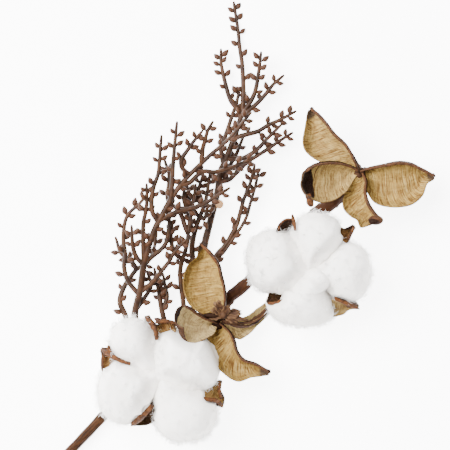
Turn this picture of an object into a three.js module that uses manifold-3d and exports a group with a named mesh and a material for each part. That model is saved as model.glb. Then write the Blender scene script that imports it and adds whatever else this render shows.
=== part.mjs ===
// A cotton stem bunch lying on a table: a taped stem carries two open cotton bolls, two empty
// burrs and a spray of budded twigs. Millimetres, +Z up from the table, +X and +Y in the plane
// of the table. The plan of every piece is written about one fixed point among the twigs, and
// the whole bunch is then set over the middle of its own outline.
import * as THREE from "three";
import { mergeVertices } from "three/addons/utils/BufferGeometryUtils.js";
import Module from "manifold-3d";

const wasm = await Module();
wasm.setup();

// Driving dimensions.
const CLEARANCE = 0.45;
const SLIVER = 0.08;
const STEM_SIDES = 10;
const STEM_RING_STEP = 14;
const TWIG_SIDES = 5;
const TWIG_RING_STEP = 9;
const SHOOT_SIDES = 4;
const TWIG_TIP_RADIUS = 0.34;
const SHOOT_RADIUS = 0.78;
const FOOT_LENGTH = 11;
const BUD_STEP = 6.2;
const BUD_LENGTH = 3.5;
const BUD_RADIUS = 1.15;
const BUD_ANGLE = 48;
const BUD_SIDES = 3;
const BUD_END_GAP = 3.4;
const BURR_WALL = 0.8;
const LOCK_GAP = 0.7;
const LOCK_DETAIL = 2;

// Where the middle of the bunch's outline lies in the plan.
const OUTLINE_MIDDLE = [-0.28, -17.05];

const COLOURS = {
  bark: { color: 0x5b3a29, roughness: 0.8 },
  twig: { color: 0x5a3322, roughness: 0.6 },
  cotton: { color: 0xf3f1ee, roughness: 1.0 },
  husk: { color: 0xbd9a5f, roughness: 0.75 },
  calyx: { color: 0x6b4a35, roughness: 0.85 },
};

const UP = new THREE.Vector3(0, 0, 1);
const radians = THREE.MathUtils.degToRad;
const vector = ([x, y, z]) => new THREE.Vector3(x, y, z);

// Solids

/** A closed geometry as a solid that can be joined and cut. */
function solidOf(geometry) {
  const bare = new THREE.BufferGeometry();
  bare.setAttribute("position", geometry.getAttribute("position"));
  if (geometry.index) bare.setIndex(geometry.index);
  const merged = mergeVertices(bare, 1e-4);
  return new wasm.Manifold(
    new wasm.Mesh({
      numProp: 3,
      vertProperties: merged.attributes.position.array,
      triVerts: new Uint32Array(merged.index.array),
    }),
  );
}

/** A solid as a geometry to draw, without the slivers that cuts leave behind. */
function geometryOf(solid) {
  const mesh = largest(solid.simplify(SLIVER)).getMesh();
  const geometry = new THREE.BufferGeometry();
  geometry.setAttribute(
    "position",
    new THREE.BufferAttribute(new Float32Array(mesh.vertProperties), 3),
  );
  geometry.setIndex(new THREE.BufferAttribute(new Uint32Array(mesh.triVerts), 1));
  geometry.computeVertexNormals();
  return geometry;
}

/** The largest body of a solid: small scraps that a cut leaves loose are dropped. */
function largest(solid) {
  const bodies = solid.decompose();
  return bodies.reduce((a, b) => (b.volume() > a.volume() ? b : a));
}

/** One solid of several that overlap. */
const joined = (solids) => solids.reduce((a, b) => a.add(b));

/** A closed body through rings of equally many points, which run anticlockwise seen from its far end. */
function loft(rings, capIndex) {
  const n = rings[0].length;
  const position = rings.flat().flatMap((p) => p.toArray());
  const index = [];
  for (let i = 0; i + 1 < rings.length; i++) {
    for (let j = 0; j < n; j++) {
      const a = i * n + j;
      const b = i * n + ((j + 1) % n);
      index.push(a, b, b + n, a, b + n, a + n);
    }
  }
  const last = (rings.length - 1) * n;
  for (const [a, b, c] of capIndex ?? fan(n)) {
    index.push(a, c, b);
    index.push(last + a, last + b, last + c);
  }
  const geometry = new THREE.BufferGeometry();
  geometry.setAttribute("position", new THREE.Float32BufferAttribute(position, 3));
  geometry.setIndex(index);
  return solidOf(geometry);
}

/** The triangles of a convex ring's cap. */
function fan(n) {
  return Array.from({ length: n - 2 }, (_, j) => [0, j + 1, j + 2]);
}

/** A ring of points round a centre, anticlockwise seen against the tangent. */
function ringAt(centre, tangent, radius, sides, up = UP) {
  const across = new THREE.Vector3().crossVectors(tangent, up).normalize();
  const over = new THREE.Vector3().crossVectors(tangent, across);
  return Array.from({ length: sides }, (_, j) => {
    const angle = (2 * Math.PI * (j + 0.5)) / sides;
    return centre
      .clone()
      .addScaledVector(across, radius * Math.cos(angle))
      .addScaledVector(over, radius * Math.sin(angle));
  });
}

const curveThrough = (points) =>
  new THREE.CatmullRomCurve3(points, false, "catmullrom", 0.5);

/** A tube along a curve, with its radius read at each share of the way. */
function tube(curve, radiusAt, sides, step, up = UP) {
  const steps = Math.max(2, Math.ceil(curve.getLength() / step));
  const rings = [];
  for (let i = 0; i <= steps; i++) {
    const u = i / steps;
    rings.push(
      ringAt(curve.getPointAt(u), curve.getTangentAt(u), radiusAt(u), sides, up),
    );
  }
  return loft(rings);
}

// Stem

// The stem's line and its radius there, from the cut end to the neck of the outer burr. It is
// thick where the tape wraps the feet of the twigs against it.
const STEM_STATIONS = [
  { at: [-108.5, -147, 2.6], radius: 2.6 },
  { at: [-75.5, -112.5, 4.8], radius: 2.5 },
  { at: [-58, -94, 7], radius: 2.7 },
  { at: [-44, -81, 9], radius: 3.6 },
  { at: [-29, -67.3, 10], radius: 4.3 },
  { at: [-12, -51.6, 10], radius: 4.3 },
  { at: [0.5, -40, 10], radius: 3.3 },
  { at: [15, -27, 10], radius: 3.0 },
  { at: [28, -14.5, 10.5], radius: 3.8 },
  { at: [46, 4.5, 14], radius: 3.4 },
  { at: [57, 12.6, 18], radius: 3.4 },
  { at: [64, 20, 22], radius: 2.7 },
];

const stemCurve = curveThrough(STEM_STATIONS.map((s) => vector(s.at)));

/** The stem's radius at a share of its length, read between its stations. */
function stemRadius(u) {
  const t = stemCurve.getUtoTmapping(u) * (STEM_STATIONS.length - 1);
  const i = Math.min(Math.floor(t), STEM_STATIONS.length - 2);
  return THREE.MathUtils.lerp(
    STEM_STATIONS[i].radius,
    STEM_STATIONS[i + 1].radius,
    t - i,
  );
}

const stemBody = (swell) =>
  tube(stemCurve, (u) => stemRadius(u) + swell, STEM_SIDES, STEM_RING_STEP);

// Twigs

// Each twig's own line runs from its foot in the taped stem to its tip. A shoot leaves that line
// at "from", counted in points of the line, and passes through its own points while it rises by
// "lift". The first "bare" share of a line or shoot has no buds.
const TWIGS = {
  twig_long: {
    radius: 1.3,
    bare: 0.46,
    line: [
      [-36.5, -74.2, 10], [-43, -62.5, 8.5], [-47, -48.5, 12], [-44, -33.5, 19],
      [-42, -20, 25], [-38.5, -8, 28], [-34, 2.5, 30], [-23.5, 20, 32],
      [-10.5, 33.5, 33], [2, 44.5, 34], [12, 56.5, 35],
    ],
    shoots: [
      { from: 2.27, lift: 2, bare: 0.2, via: [[-43, -39.5], [-40, -35], [-38.3, -30.8], [-40, -26]] },
      {
        from: 2.8,
        lift: 4,
        bare: 0.2,
        via: [
          [-50.5, -29], [-52.5, -22], [-51.8, -16], [-52.8, -7.5], [-52, 1.5], [-49.5, 6.5],
          [-45, 10.5], [-41, 15.5],
        ],
      },
      {
        from: 2.9,
        lift: 10,
        bare: 0.25,
        via: [[-40.5, -32.3], [-37, -29], [-33.5, -24.5], [-29, -19], [-26.5, -14.5], [-21.5, -9]],
      },
      { from: 3.93, lift: 5, bare: 0.2, via: [[-46, -16.5], [-47.7, -11.5], [-48.1, -7], [-48.3, -2.5]] },
      {
        from: 4,
        lift: 8,
        bare: 0.2,
        via: [[-42.3, -12.5], [-42.4, -5.5], [-42.2, 1.5], [-41, 7], [-40.4, 13], [-40.5, 19]],
      },
      {
        from: 3.97,
        lift: -3,
        bare: 0.2,
        via: [[-38.3, -16.8], [-33.4, -12.9], [-30.9, -9.8], [-29.8, -5.5], [-29.1, 0], [-28.5, 7]],
      },
      {
        from: 5.93,
        lift: 5,
        bare: 0.3,
        via: [[-37.5, 6.5], [-38, 13], [-37, 19.5], [-34.5, 26.5], [-33.8, 34], [-33, 44]],
      },
      { from: 5.97, lift: -2, bare: 0.25, via: [[-29.5, 4.5], [-24.5, 7], [-18, 8.5], [-11, 10.8], [-5.3, 14.3], [0.5, 18]] },
      { from: 6.35, lift: 6, bare: 0.3, via: [[-28.5, 12], [-27.4, 20], [-27, 28.5], [-26.3, 37.5], [-25, 51]] },
      { from: 7.05, lift: -3, bare: 0.3, via: [[-18.5, 21.8], [-14.5, 25.5], [-11, 27.8], [-6, 27.3], [-0.5, 28.5], [4.5, 30.3], [13.5, 34]] },
      { from: 7.42, lift: 5, bare: 0.15, via: [[-22, 29.3], [-22.5, 34], [-19.8, 38], [-16.3, 43], [-13, 47]] },
      { from: 7.87, lift: 6, bare: 0.2, via: [[-11.5, 39.3], [-10.5, 42.8], [-9, 48.5], [-7.3, 51.5]] },
    ],
  },
  twig_low: {
    radius: 1.15,
    bare: 0.42,
    line: [
      [-42, -79.2, 9], [-48.5, -65.5, 7], [-51.5, -49, 8], [-54.8, -40.5, 8.5], [-53, -33, 8.5],
      [-49.5, -27.5, 8], [-46, -23, 8], [-41.5, -20.5, 8], [-38.5, -16.5, 8], [-37, -12, 8], [-36, -6, 8],
    ],
    shoots: [{ from: 6, lift: 0, bare: 0.3, via: [[-49.5, -18.5], [-54.5, -14.5], [-56.5, -8.5]] }],
  },
  twig_short: {
    radius: 1.1,
    bare: 0.35,
    line: [
      [-27.5, -65.9, 10], [-30, -56.5, 9], [-32.5, -46.5, 10], [-33.7, -40.5, 10.5],
      [-34.5, -35.3, 10.5], [-35.5, -30, 10.5], [-36.5, -24.8, 10.5],
    ],
    shoots: [{ from: 2.3, lift: 1, bare: 0.2, via: [[-31.3, -41.5], [-30.2, -37], [-31, -32.9], [-32, -27.5]] }],
  },
  twig_side: {
    radius: 1.1,
    bare: 0.3,
    line: [
      [-18, -57.1, 10], [-21, -46.5, 10.5], [-22, -38, 12], [-23, -31, 13], [-23.4, -24.4, 14],
      [-22.4, -19, 16], [-20.7, -13.8, 18], [-19.5, -8.5, 19], [-18.8, -1.5, 19.5], [-17.5, 5.5, 20],
      [-16.5, 12, 20], [-15.5, 19, 20],
    ],
    shoots: [
      {
        from: 7.6,
        lift: 1,
        bare: 0.4,
        via: [
          [-20.5, -1.5], [-22.5, 4.5], [-25.5, 9], [-28.8, 11.5], [-30, 15], [-29.3, 21], [-29.3, 27],
          [-31, 32.5],
        ],
      },
      { from: 5.2, lift: 3, bare: 0.2, via: [[-26, -14.5], [-28, -8], [-27.5, -1]] },
      { from: 9.2, lift: 2, bare: 0.1, via: [[-20, 9.5], [-21.5, 14], [-21, 19]] },
    ],
  },
  twig_middle: {
    radius: 1.2,
    bare: 0.38,
    line: [
      [-11, -50.6, 10], [-14, -37.5, 10], [-16, -27.5, 10.5], [-16.8, -18.5, 11.5],
      [-17.2, -11.5, 12], [-16, -4.5, 12.5], [-14, 2, 13], [-12, 7, 13], [-10, 13, 13],
      [-9, 18.5, 13.5], [-8, 26, 14],
    ],
    shoots: [
      { from: 5, lift: 1, bare: 0.15, via: [[-18.2, 1], [-19.3, 7.5], [-18.5, 13.5], [-19.5, 20]] },
      { from: 6.4, lift: 2, bare: 0.15, via: [[-10.5, 3.6], [-9.3, 8.3]] },
      { from: 7.5, lift: 0, bare: 0.15, via: [[-13.6, 12.5], [-13.8, 18], [-12, 24.5]] },
    ],
  },
  twig_tall: {
    radius: 1.5,
    bare: 0.42,
    stub: { at: [-3.1, 10.9, 8.6], radius: 2.15, depth: 2.4 },
    line: [
      [-6.5, -46.5, 9], [-9.5, -32.5, 6.5], [-11, -18.5, 6], [-10.5, -10, 6], [-8.5, -1.5, 6],
      [-6.5, 6.5, 6.5], [-4, 17, 7], [-2.5, 27.5, 8], [0.5, 34, 9], [4, 43.5, 9], [6.5, 50.5, 9],
      [9, 59.5, 8], [9.6, 70.5, 6.5], [9, 84.5, 4.5], [7.9, 91.5, 3.4], [6.7, 103, 1.6], [4.9, 114.6, 0.3],
    ],
    shoots: [
      { from: 7.6, lift: -3, bare: 0.15, via: [[-2, 40], [0.4, 47], [2.2, 52.3], [4, 58], [6, 63.5], [7.4, 70]] },
      { from: 6.4, lift: -3, bare: 0.1, via: [[0, 24], [2, 30], [5.9, 37], [9.3, 45.5]] },
      {
        from: 10.9,
        lift: -2.5,
        bare: 0.25,
        via: [[4, 63.5], [2, 67.5], [0.2, 74], [-1, 79.2], [-2, 84.5], [-2.1, 89.7]],
      },
      { from: 10.8, lift: 4, bare: 0.2, via: [[13.7, 65], [16, 70.5], [17.3, 77.5], [18, 82.7], [18.6, 88]] },
      { from: 10.7, lift: 0, bare: 0.2, via: [[16.5, 63.3], [21.5, 68.7], [25, 73.2], [29, 76.7]] },
      {
        from: 9.1,
        lift: 3,
        bare: 0.2,
        via: [[7, 46], [12.3, 47.5], [17.5, 49], [22.9, 52.3], [28, 54.5], [35, 58.3]],
      },
      {
        from: 8.05,
        lift: 3,
        bare: 0.25,
        via: [[5.3, 34.5], [9, 34.7], [13.4, 37], [17.5, 40], [21, 44], [24.5, 47.5], [28, 51]],
      },
      {
        from: 6.5,
        lift: 2,
        bare: 0.25,
        via: [[1.8, 23.5], [5.3, 26.6], [8.8, 30.2], [12.5, 33.5], [17.5, 36.6], [22.9, 40], [28, 43.6], [33.4, 47]],
      },
    ],
  },
  twig_right: {
    radius: 1.25,
    bare: 0.34,
    line: [
      [-2, -42.3, 9.5], [-4, -30, 7.5], [-4.8, -19.5, 8], [-0.5, -14, 9], [4, -7.5, 10], [8.5, -1, 10],
      [11.5, 4.8, 10], [13, 10.5, 10], [14.5, 15.5, 10], [16, 20.8, 10], [17.3, 27, 10],
    ],
    shoots: [
      {
        from: 1.75,
        lift: 6,
        bare: 0.25,
        via: [
          [-4.5, -16], [-1, -12], [1.9, -8], [4, -4], [6, -0.5], [7.6, 5], [9, 10.5], [10.6, 15.5],
          [12.5, 19.8], [13.8, 24.2], [15, 29],
        ],
      },
    ],
  },
};

/** A line or shoot: its curve, how thick it is at both ends and where its buds begin. */
function branch(points, radius, bare) {
  return { curve: curveThrough(points), radius, bare };
}

/** Every branch of a twig, its own line first. */
function branchesOf({ line, shoots, radius, bare }) {
  const main = branch(line.map(vector), radius, bare);
  const sides = shoots.map((shoot) => {
    const start = main.curve.getPoint(shoot.from / (line.length - 1));
    const rest = shoot.via.map(
      ([x, y], i) =>
        new THREE.Vector3(x, y, start.z + (shoot.lift * (i + 1)) / shoot.via.length),
    );
    return branch([start, ...rest], SHOOT_RADIUS, shoot.bare);
  });
  return [main, ...sides];
}

/** One bud, from the twig's own line out past its skin. */
function bud(root, direction, twigRadius) {
  const at = (distance) => root.clone().addScaledVector(direction, distance);
  const waist = ringAt(at(twigRadius + BUD_LENGTH * 0.4), direction, BUD_RADIUS, BUD_SIDES);
  const points = [at(-0.2 * twigRadius), at(twigRadius + BUD_LENGTH), ...waist];
  const index = waist.flatMap((_, j) => {
    const a = 2 + j;
    const b = 2 + ((j + 1) % BUD_SIDES);
    return [0, b, a, 1, a, b];
  });
  const geometry = new THREE.BufferGeometry().setFromPoints(points);
  geometry.setIndex(index);
  return solidOf(geometry);
}

/** The buds of a branch, left and right by turns, each leaning a little out of the plane. */
function budsOn({ curve, radius, bare }, number) {
  const length = curve.getLength();
  const buds = [];
  for (let k = 0; ; k++) {
    const distance = length * bare + k * BUD_STEP;
    if (distance > length - BUD_END_GAP) return buds;
    const u = distance / length;
    const tangent = curve.getTangentAt(u);
    const side = new THREE.Vector3().crossVectors(tangent, UP).normalize();
    const over = new THREE.Vector3().crossVectors(side, tangent);
    const lean = radians(38) * Math.sin(2.4 * k + 1.7 * number);
    const turn = (k + number) % 2 ? 1 : -1;
    const outward = side.multiplyScalar(turn * Math.cos(lean));
    outward.addScaledVector(over, Math.sin(lean));
    const direction = tangent.multiplyScalar(Math.cos(radians(BUD_ANGLE)));
    direction.addScaledVector(outward, Math.sin(radians(BUD_ANGLE)));
    const here = THREE.MathUtils.lerp(radius, TWIG_TIP_RADIUS, u);
    buds.push(bud(curve.getPointAt(u), direction, here));
  }
}

/** The pale round scar where a side shoot was trimmed off, facing up. */
function stubOf({ at, radius, depth }) {
  const top = vector(at);
  const bottom = top.clone().addScaledVector(UP, -depth);
  const north = new THREE.Vector3(0, 1, 0);
  return loft([bottom, top].map((p) => ringAt(p, UP, radius, 10, north)));
}

/** A budded twig as one body, trimmed flat where it would pass below the table. */
function twigBody(spec) {
  const branches = branchesOf(spec);
  const parts = branches.map(({ curve, radius }, number) =>
    tube(
      curve,
      (u) => THREE.MathUtils.lerp(radius, TWIG_TIP_RADIUS, u),
      number ? SHOOT_SIDES : TWIG_SIDES,
      TWIG_RING_STEP,
    ),
  );
  branches.forEach((b, number) => parts.push(...budsOn(b, number)));
  if (spec.stub) parts.push(stubOf(spec.stub));
  return largest(joined(parts).trimByPlane([0, 0, 1], 0));
}

/** The plain hole that a twig's foot stands in. */
function footHole({ line, radius }) {
  const curve = curveThrough(line.map(vector));
  const start = curve.getPointAt(0);
  const tangent = curve.getTangentAt(0);
  const inner = start.clone().addScaledVector(tangent, -2 * CLEARANCE);
  const outer = curve.getPointAt(FOOT_LENGTH / curve.getLength());
  const wide = radius + 2 * CLEARANCE;
  const axis = outer.clone().sub(inner).normalize();
  return loft([inner, outer].map((p) => ringAt(p, axis, wide, 8)));
}

// Burrs

// A burr's valves spread from its heart. A boat is a valve with two troughs that share a thin
// fin: "left" and "right" are the half widths looking from heart to tip, "fin" is how high the
// fin stands over the keel, and the keel swings away from straight up by "bow" and turns back at
// the tip by "beak". A shell is a wide trough between its dark rim and its margin, which are
// lines from heart to tip: it hangs below them by "sag", of which "hood" is left at the tip, and
// behind the rim its back falls away by "back".
const BURRS = {
  boll_1_burr: {
    heart: [-33.5, -77.5, 19],
    heartRadius: 5,
    seat: { at: [-30.5, -68.7, 14.2], radius: 2.6 },
    boats: [
      { tip: [-64.5, -64.5, 26], left: 6.5, right: 6.5, fin: 7, bow: 4, beak: 1 },
      { tip: [-40.5, -46.8, 26], left: 6.5, right: 6.5, fin: 7, bow: 3, beak: 1 },
      { tip: [-1, -93.6, 24], left: 6.5, right: 6.5, fin: 7, bow: 4, beak: 1 },
      { tip: [-48, -104, 20], left: 6, right: 6, fin: 7, bow: 3, beak: 1 },
    ],
    shells: [],
  },
  boll_2_burr: {
    heart: [42.5, -25, 19],
    heartRadius: 5,
    seat: { at: [30.2, -15.8, 13.6], radius: 2.6 },
    boats: [
      { tip: [67.1, -0.5, 24], left: 6, right: 6, fin: 7, bow: 4, beak: 1 },
      { tip: [69.2, -42.9, 24], left: 6.5, right: 6.5, fin: 7, bow: 4, beak: 1 },
      { tip: [21.8, -40.6, 24], left: 5, right: 5, fin: 6, bow: 3, beak: 1 },
    ],
    shells: [
      {
        sag: 5,
        hood: 0.9,
        back: 2,
        rim: [
          [42.1, -23.4, 19], [40, -15.6, 20], [38, -7.8, 24], [36.1, -0.5, 30],
          [35.1, 4.2, 36],
        ],
        margin: [
          [40.6, -24.4, 19], [35.9, -19.2, 20], [31.2, -13, 23], [27.6, -7.8, 28],
          [26.5, -3.1, 34],
        ],
      },
    ],
  },
  husk_1_burr: {
    heart: [-2.6, -49.4, 20],
    heartRadius: 3.6,
    seat: { at: [-1.6, -42.6, 13.8], radius: 2.4 },
    boats: [],
    shells: [
      {
        sag: 8,
        hood: 0.15,
        back: 5,
        rim: [
          [-2.1, -48.4, 21], [-0.3, -41.6, 25], [-0.5, -33.8, 27], [-2.3, -26.5, 28],
          [-3.9, -20.3, 28], [-7.8, -14.8, 27], [-13, -9.4, 25],
        ],
        margin: [
          [-4.7, -49.4, 21], [-10.4, -46.3, 22], [-17.2, -42.1, 23], [-20.8, -34.8, 24],
          [-21.1, -27, 25], [-18.7, -20.3, 25], [-13.8, -10.4, 24.5],
        ],
      },
      {
        sag: 6,
        hood: 0.75,
        back: 5,
        rim: [
          [-4.2, -51, 23], [-7.3, -49.9, 27], [-11.4, -48.1, 31], [-15.1, -45.8, 35],
          [-18.2, -43.7, 38], [-21.3, -42.6, 42], [-23.4, -42.1, 45],
        ],
        margin: [
          [-4.2, -53, 22], [-6.2, -56.2, 26], [-9.9, -58.2, 30], [-14.6, -60.3, 34],
          [-19.8, -59.8, 37], [-23.4, -56.7, 41], [-24.4, -52.5, 44],
        ],
      },
      {
        sag: 7,
        hood: 0.15,
        back: 5,
        rim: [
          [-3.1, -51, 21], [1.6, -55.1, 24], [4.4, -60.3, 26], [6, -66, 27], [9.9, -70.5, 27],
          [16.1, -72.5, 26], [23.4, -77, 24],
        ],
        margin: [
          [-5.7, -52, 20], [-8.6, -58.8, 22], [-7.3, -66.6, 24], [-2.1, -74.9, 25],
          [6.2, -80.6, 25], [14, -78.5, 25], [22.9, -77.7, 23.5],
        ],
      },
      {
        sag: 3,
        hood: 0.4,
        back: 1.5,
        rim: [
          [-2.1, -49.6, 21.5], [3.1, -50.7, 21.5], [8.3, -51.2, 20.5], [14.6, -50.4, 18.5],
          [19.2, -47.5, 16.5], [22.9, -43.9, 14.5], [24.4, -41.8, 13.5],
        ],
        margin: [
          [-3.1, -48.4, 20], [1.6, -48.4, 19], [6.2, -49.4, 18], [11.4, -48.1, 16],
          [16.1, -44.7, 14], [20.8, -41.1, 12.5], [23.9, -39.5, 12.5],
        ],
      },
      {
        sag: 3,
        hood: 0.4,
        back: 1.5,
        rim: [
          [-2.1, -49.9, 21], [3.1, -51, 21], [8.3, -51.5, 20], [14.6, -50.7, 18],
          [19.2, -47.8, 16], [22.9, -44.2, 14], [24.4, -42.1, 13],
        ],
        margin: [
          [-2.1, -53, 19], [2.1, -56.2, 17], [7.8, -59, 15], [14, -55.1, 13.5],
          [18.7, -50.7, 12.5], [22.4, -46.8, 12], [24.2, -44.2, 12],
        ],
      },
    ],
  },
  husk_2_burr: {
    heart: [69.7, 27.2, 26],
    heartRadius: 3.4,
    seat: { at: [63.2, 19, 21.6], radius: 2.3 },
    boats: [],
    shells: [
      {
        sag: 7.5,
        hood: 0.15,
        back: 5,
        rim: [
          [69.2, 28.1, 27], [66.6, 33.8, 30], [62.4, 41.1, 32], [56.7, 46.5, 32],
          [52.5, 52, 31], [48.9, 56.4, 29], [45.2, 60.1, 27],
        ],
        margin: [
          [67.1, 28.6, 26], [59.8, 30.7, 27], [50.4, 32.8, 28], [43.2, 37.4, 28],
          [40.8, 43.2, 28], [41.6, 49.4, 27], [44.7, 59.4, 26.5],
        ],
      },
      {
        sag: 7,
        hood: 0.85,
        back: 5,
        rim: [
          [69.2, 27.6, 28], [65, 30.7, 31], [59.8, 32.8, 34], [54.1, 33.8, 37],
          [47.8, 33.5, 40], [43.2, 31.7, 44], [40.3, 29.1, 48],
        ],
        margin: [
          [68.6, 26.5, 27], [65.5, 21.3, 30], [61.9, 16.6, 33], [57.2, 12.5, 36],
          [51, 10.9, 39], [45.8, 12.5, 43], [42.9, 15.1, 47],
        ],
      },
      {
        sag: 5,
        hood: 0.6,
        back: 5,
        rim: [
          [71.2, 27, 28], [72.8, 22.4, 31], [72.3, 16.6, 33], [73.8, 10.9, 34],
          [76.4, 6.8, 34], [79, 4.2, 34], [81.1, 2.6, 34],
        ],
        margin: [
          [69.2, 25.5, 27], [65, 20.8, 29], [61.9, 15.1, 30], [61.6, 8.8, 31], [65.5, 4.2, 32],
          [70.7, -1, 32], [75.9, 0, 33],
        ],
      },
      {
        sag: 7.5,
        hood: 0.15,
        back: 5,
        rim: [
          [70.2, 27.8, 27], [74.4, 29.1, 29], [82.2, 30.7, 31], [90, 32, 31], [96.7, 31.2, 29],
          [103, 28.1, 26], [109.2, 25, 23],
        ],
        margin: [
          [70.7, 26.3, 26], [73.3, 18.2, 27], [78.5, 12, 28], [86.3, 9.9, 28],
          [94.6, 11.7, 27], [101.9, 17.4, 25], [108.7, 24.2, 22.5],
        ],
      },
    ],
  },
};

const MARGIN_ANGLE = 325;
const KEEL_GROOVE = 0.2;
const VALVE_ROOT = 1.2;
const BOAT_RINGS = 4;
const BOAT_STEPS = 3;
const SHELL_RINGS = 6;
const SHELL_STEPS = 4;
const BACK_LEAN = 0.4;

/** How wide a boat is at a share of its length, against its widest. */
const valveSwell = (u) => 0.06 + 0.94 * Math.sin(Math.PI * (0.09 + 0.91 * u)) ** 0.75;

/** A boat's cross-section as points (across, up): both troughs, their margins and the keel. */
function boatSection(left, right, fin, swell) {
  const half = (width) => {
    const at = (degrees, offset) => {
      const a = radians(degrees);
      return [
        Math.max(0.15, BURR_WALL / 2 + (width / 2) * (1 + Math.cos(a)) + offset * Math.cos(a)),
        fin * (1 + Math.sin(a)) + offset * Math.sin(a),
      ];
    };
    const inner = Array.from({ length: BOAT_STEPS + 1 }, (_, i) =>
      at(180 + ((MARGIN_ANGLE - 180) * i) / BOAT_STEPS, -swell),
    );
    const outer = [MARGIN_ANGLE, 275, 235].map((a) => at(a, BURR_WALL + swell));
    for (const end of [inner[0], inner.at(-1), outer[0]]) end[1] += 1.5 * swell;
    return [...inner, ...outer];
  };
  const leftHalf = half(left).map(([x, z]) => [-x, z]);
  return [...half(right), [0, fin * KEEL_GROOVE - swell], ...leftHalf.reverse()];
}

/** A boat. With a swell it is the room that the boat needs, for cutting its neighbours. */
function boatBody(heart, boat, swell) {
  const along = vector(boat.tip).sub(heart);
  const length = along.length();
  along.normalize();
  const normal = UP.clone().addScaledVector(along, -UP.dot(along)).normalize();
  const right = new THREE.Vector3().crossVectors(along, normal);
  const sections = Array.from({ length: BOAT_RINGS }, (_, i) => {
    const share = valveSwell(i / (BOAT_RINGS - 1));
    return boatSection(boat.left * share, boat.right * share, boat.fin * share, swell);
  });
  const loops = sections.map((section, i) => {
    const u = i / (BOAT_RINGS - 1);
    const beak = Math.max(0, (u - 0.7) / 0.3) ** 2;
    const lift = -boat.bow * Math.sin(Math.PI * u) + boat.beak * beak - VALVE_ROOT * (1 - u);
    const reach = length * u + (i === BOAT_RINGS - 1 ? 2 * swell : 0);
    const keel = heart.clone().addScaledVector(along, reach).addScaledVector(normal, lift);
    return section.map(([x, z]) =>
      keel.clone().addScaledVector(right, x).addScaledVector(normal, z),
    );
  });
  const outline = sections[1].map(([x, z]) => new THREE.Vector2(x, z));
  const cap = THREE.ShapeUtils.triangulateShape(outline, []).map(([a, b, c]) => [c, b, a]);
  return loft(loops, cap);
}

/** A shell: its trough hangs between rim and margin, and its steep back falls away at the rim. */
function shellBody({ rim, margin, sag, hood, back }, swell) {
  const lines = [rim, margin].map((line) => curveThrough(line.map(vector)));
  const middle = lines.map((line) => [line.getPoint(0.5), line.getTangent(0.5)]);
  const across = middle[1][0].clone().sub(middle[0][0]);
  const heading = middle[0][1].clone().add(middle[1][1]);
  const sign = Math.sign(new THREE.Vector3().crossVectors(heading, across).z);
  const angles = Array.from({ length: SHELL_STEPS + 1 }, (_, j) => (Math.PI * j) / SHELL_STEPS);
  const rings = Array.from({ length: SHELL_RINGS }, (_, i) => {
    const u = i / (SHELL_RINGS - 1);
    const [from, to] = lines.map((line) => line.getPoint(u));
    const tangent = lines[0].getTangent(u).add(lines[1].getTangent(u)).normalize();
    const width = to.distanceTo(from);
    const side = to.sub(from).normalize();
    if (i === SHELL_RINGS - 1) from.addScaledVector(tangent, 3 * swell);
    const inward = new THREE.Vector3().crossVectors(tangent, side).normalize();
    inward.multiplyScalar(sign);
    const depth = sag * Math.max(Math.sin(Math.PI * (0.1 + 0.85 * u)) ** 0.6, hood * u);
    const at = (angle, offset) => {
      const out = new THREE.Vector2(-Math.cos(angle) * depth, (-Math.sin(angle) * width) / 2);
      out.normalize().multiplyScalar(offset);
      return from
        .clone()
        .addScaledVector(side, (width * (1 - Math.cos(angle))) / 2 + out.x)
        .addScaledVector(inward, out.y - depth * Math.sin(angle));
    };
    const inner = angles.map((angle) => at(angle, -swell));
    const outer = angles.map((angle) => at(angle, BURR_WALL + swell));
    const fall = back * (0.2 + 0.8 * Math.sin(Math.PI * u));
    outer[0].addScaledVector(side, -BACK_LEAN * fall).addScaledVector(UP, -fall - swell);
    inner[0].copy(from).addScaledVector(inward, 2 * swell);
    for (const end of [inner.at(-1), outer.at(-1)]) end.addScaledVector(inward, swell);
    const ring = [...inner, ...outer.reverse()];
    return sign > 0 ? ring.reverse() : ring;
  });
  const last = 2 * SHELL_STEPS + 1;
  const cap = Array.from({ length: SHELL_STEPS }, (_, j) => [
    [j, j + 1, last - 1 - j],
    [j, last - 1 - j, last - j],
  ]).flat();
  return loft(rings, cap);
}

/** A burr: its valves, the heart they grow from and the short stalk down to the stem. */
function burrBody(spec, swell = 0) {
  const heart = vector(spec.heart);
  const ball = new THREE.IcosahedronGeometry(spec.heartRadius + swell, 1);
  ball.translate(...heart);
  const seat = vector(spec.seat.at);
  const stalk = tube(
    curveThrough([seat, seat.clone().lerp(heart, 0.5).addScaledVector(UP, -0.6), heart]),
    () => spec.seat.radius + swell,
    8,
    5,
    new THREE.Vector3(0, 1, 0.2).normalize(),
  );
  const boats = spec.boats.map((boat) => boatBody(heart, boat, swell));
  const shells = spec.shells.map((shell) => shellBody(shell, swell));
  return joined([solidOf(ball), stalk, ...boats, ...shells]);
}

// Cotton

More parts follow.
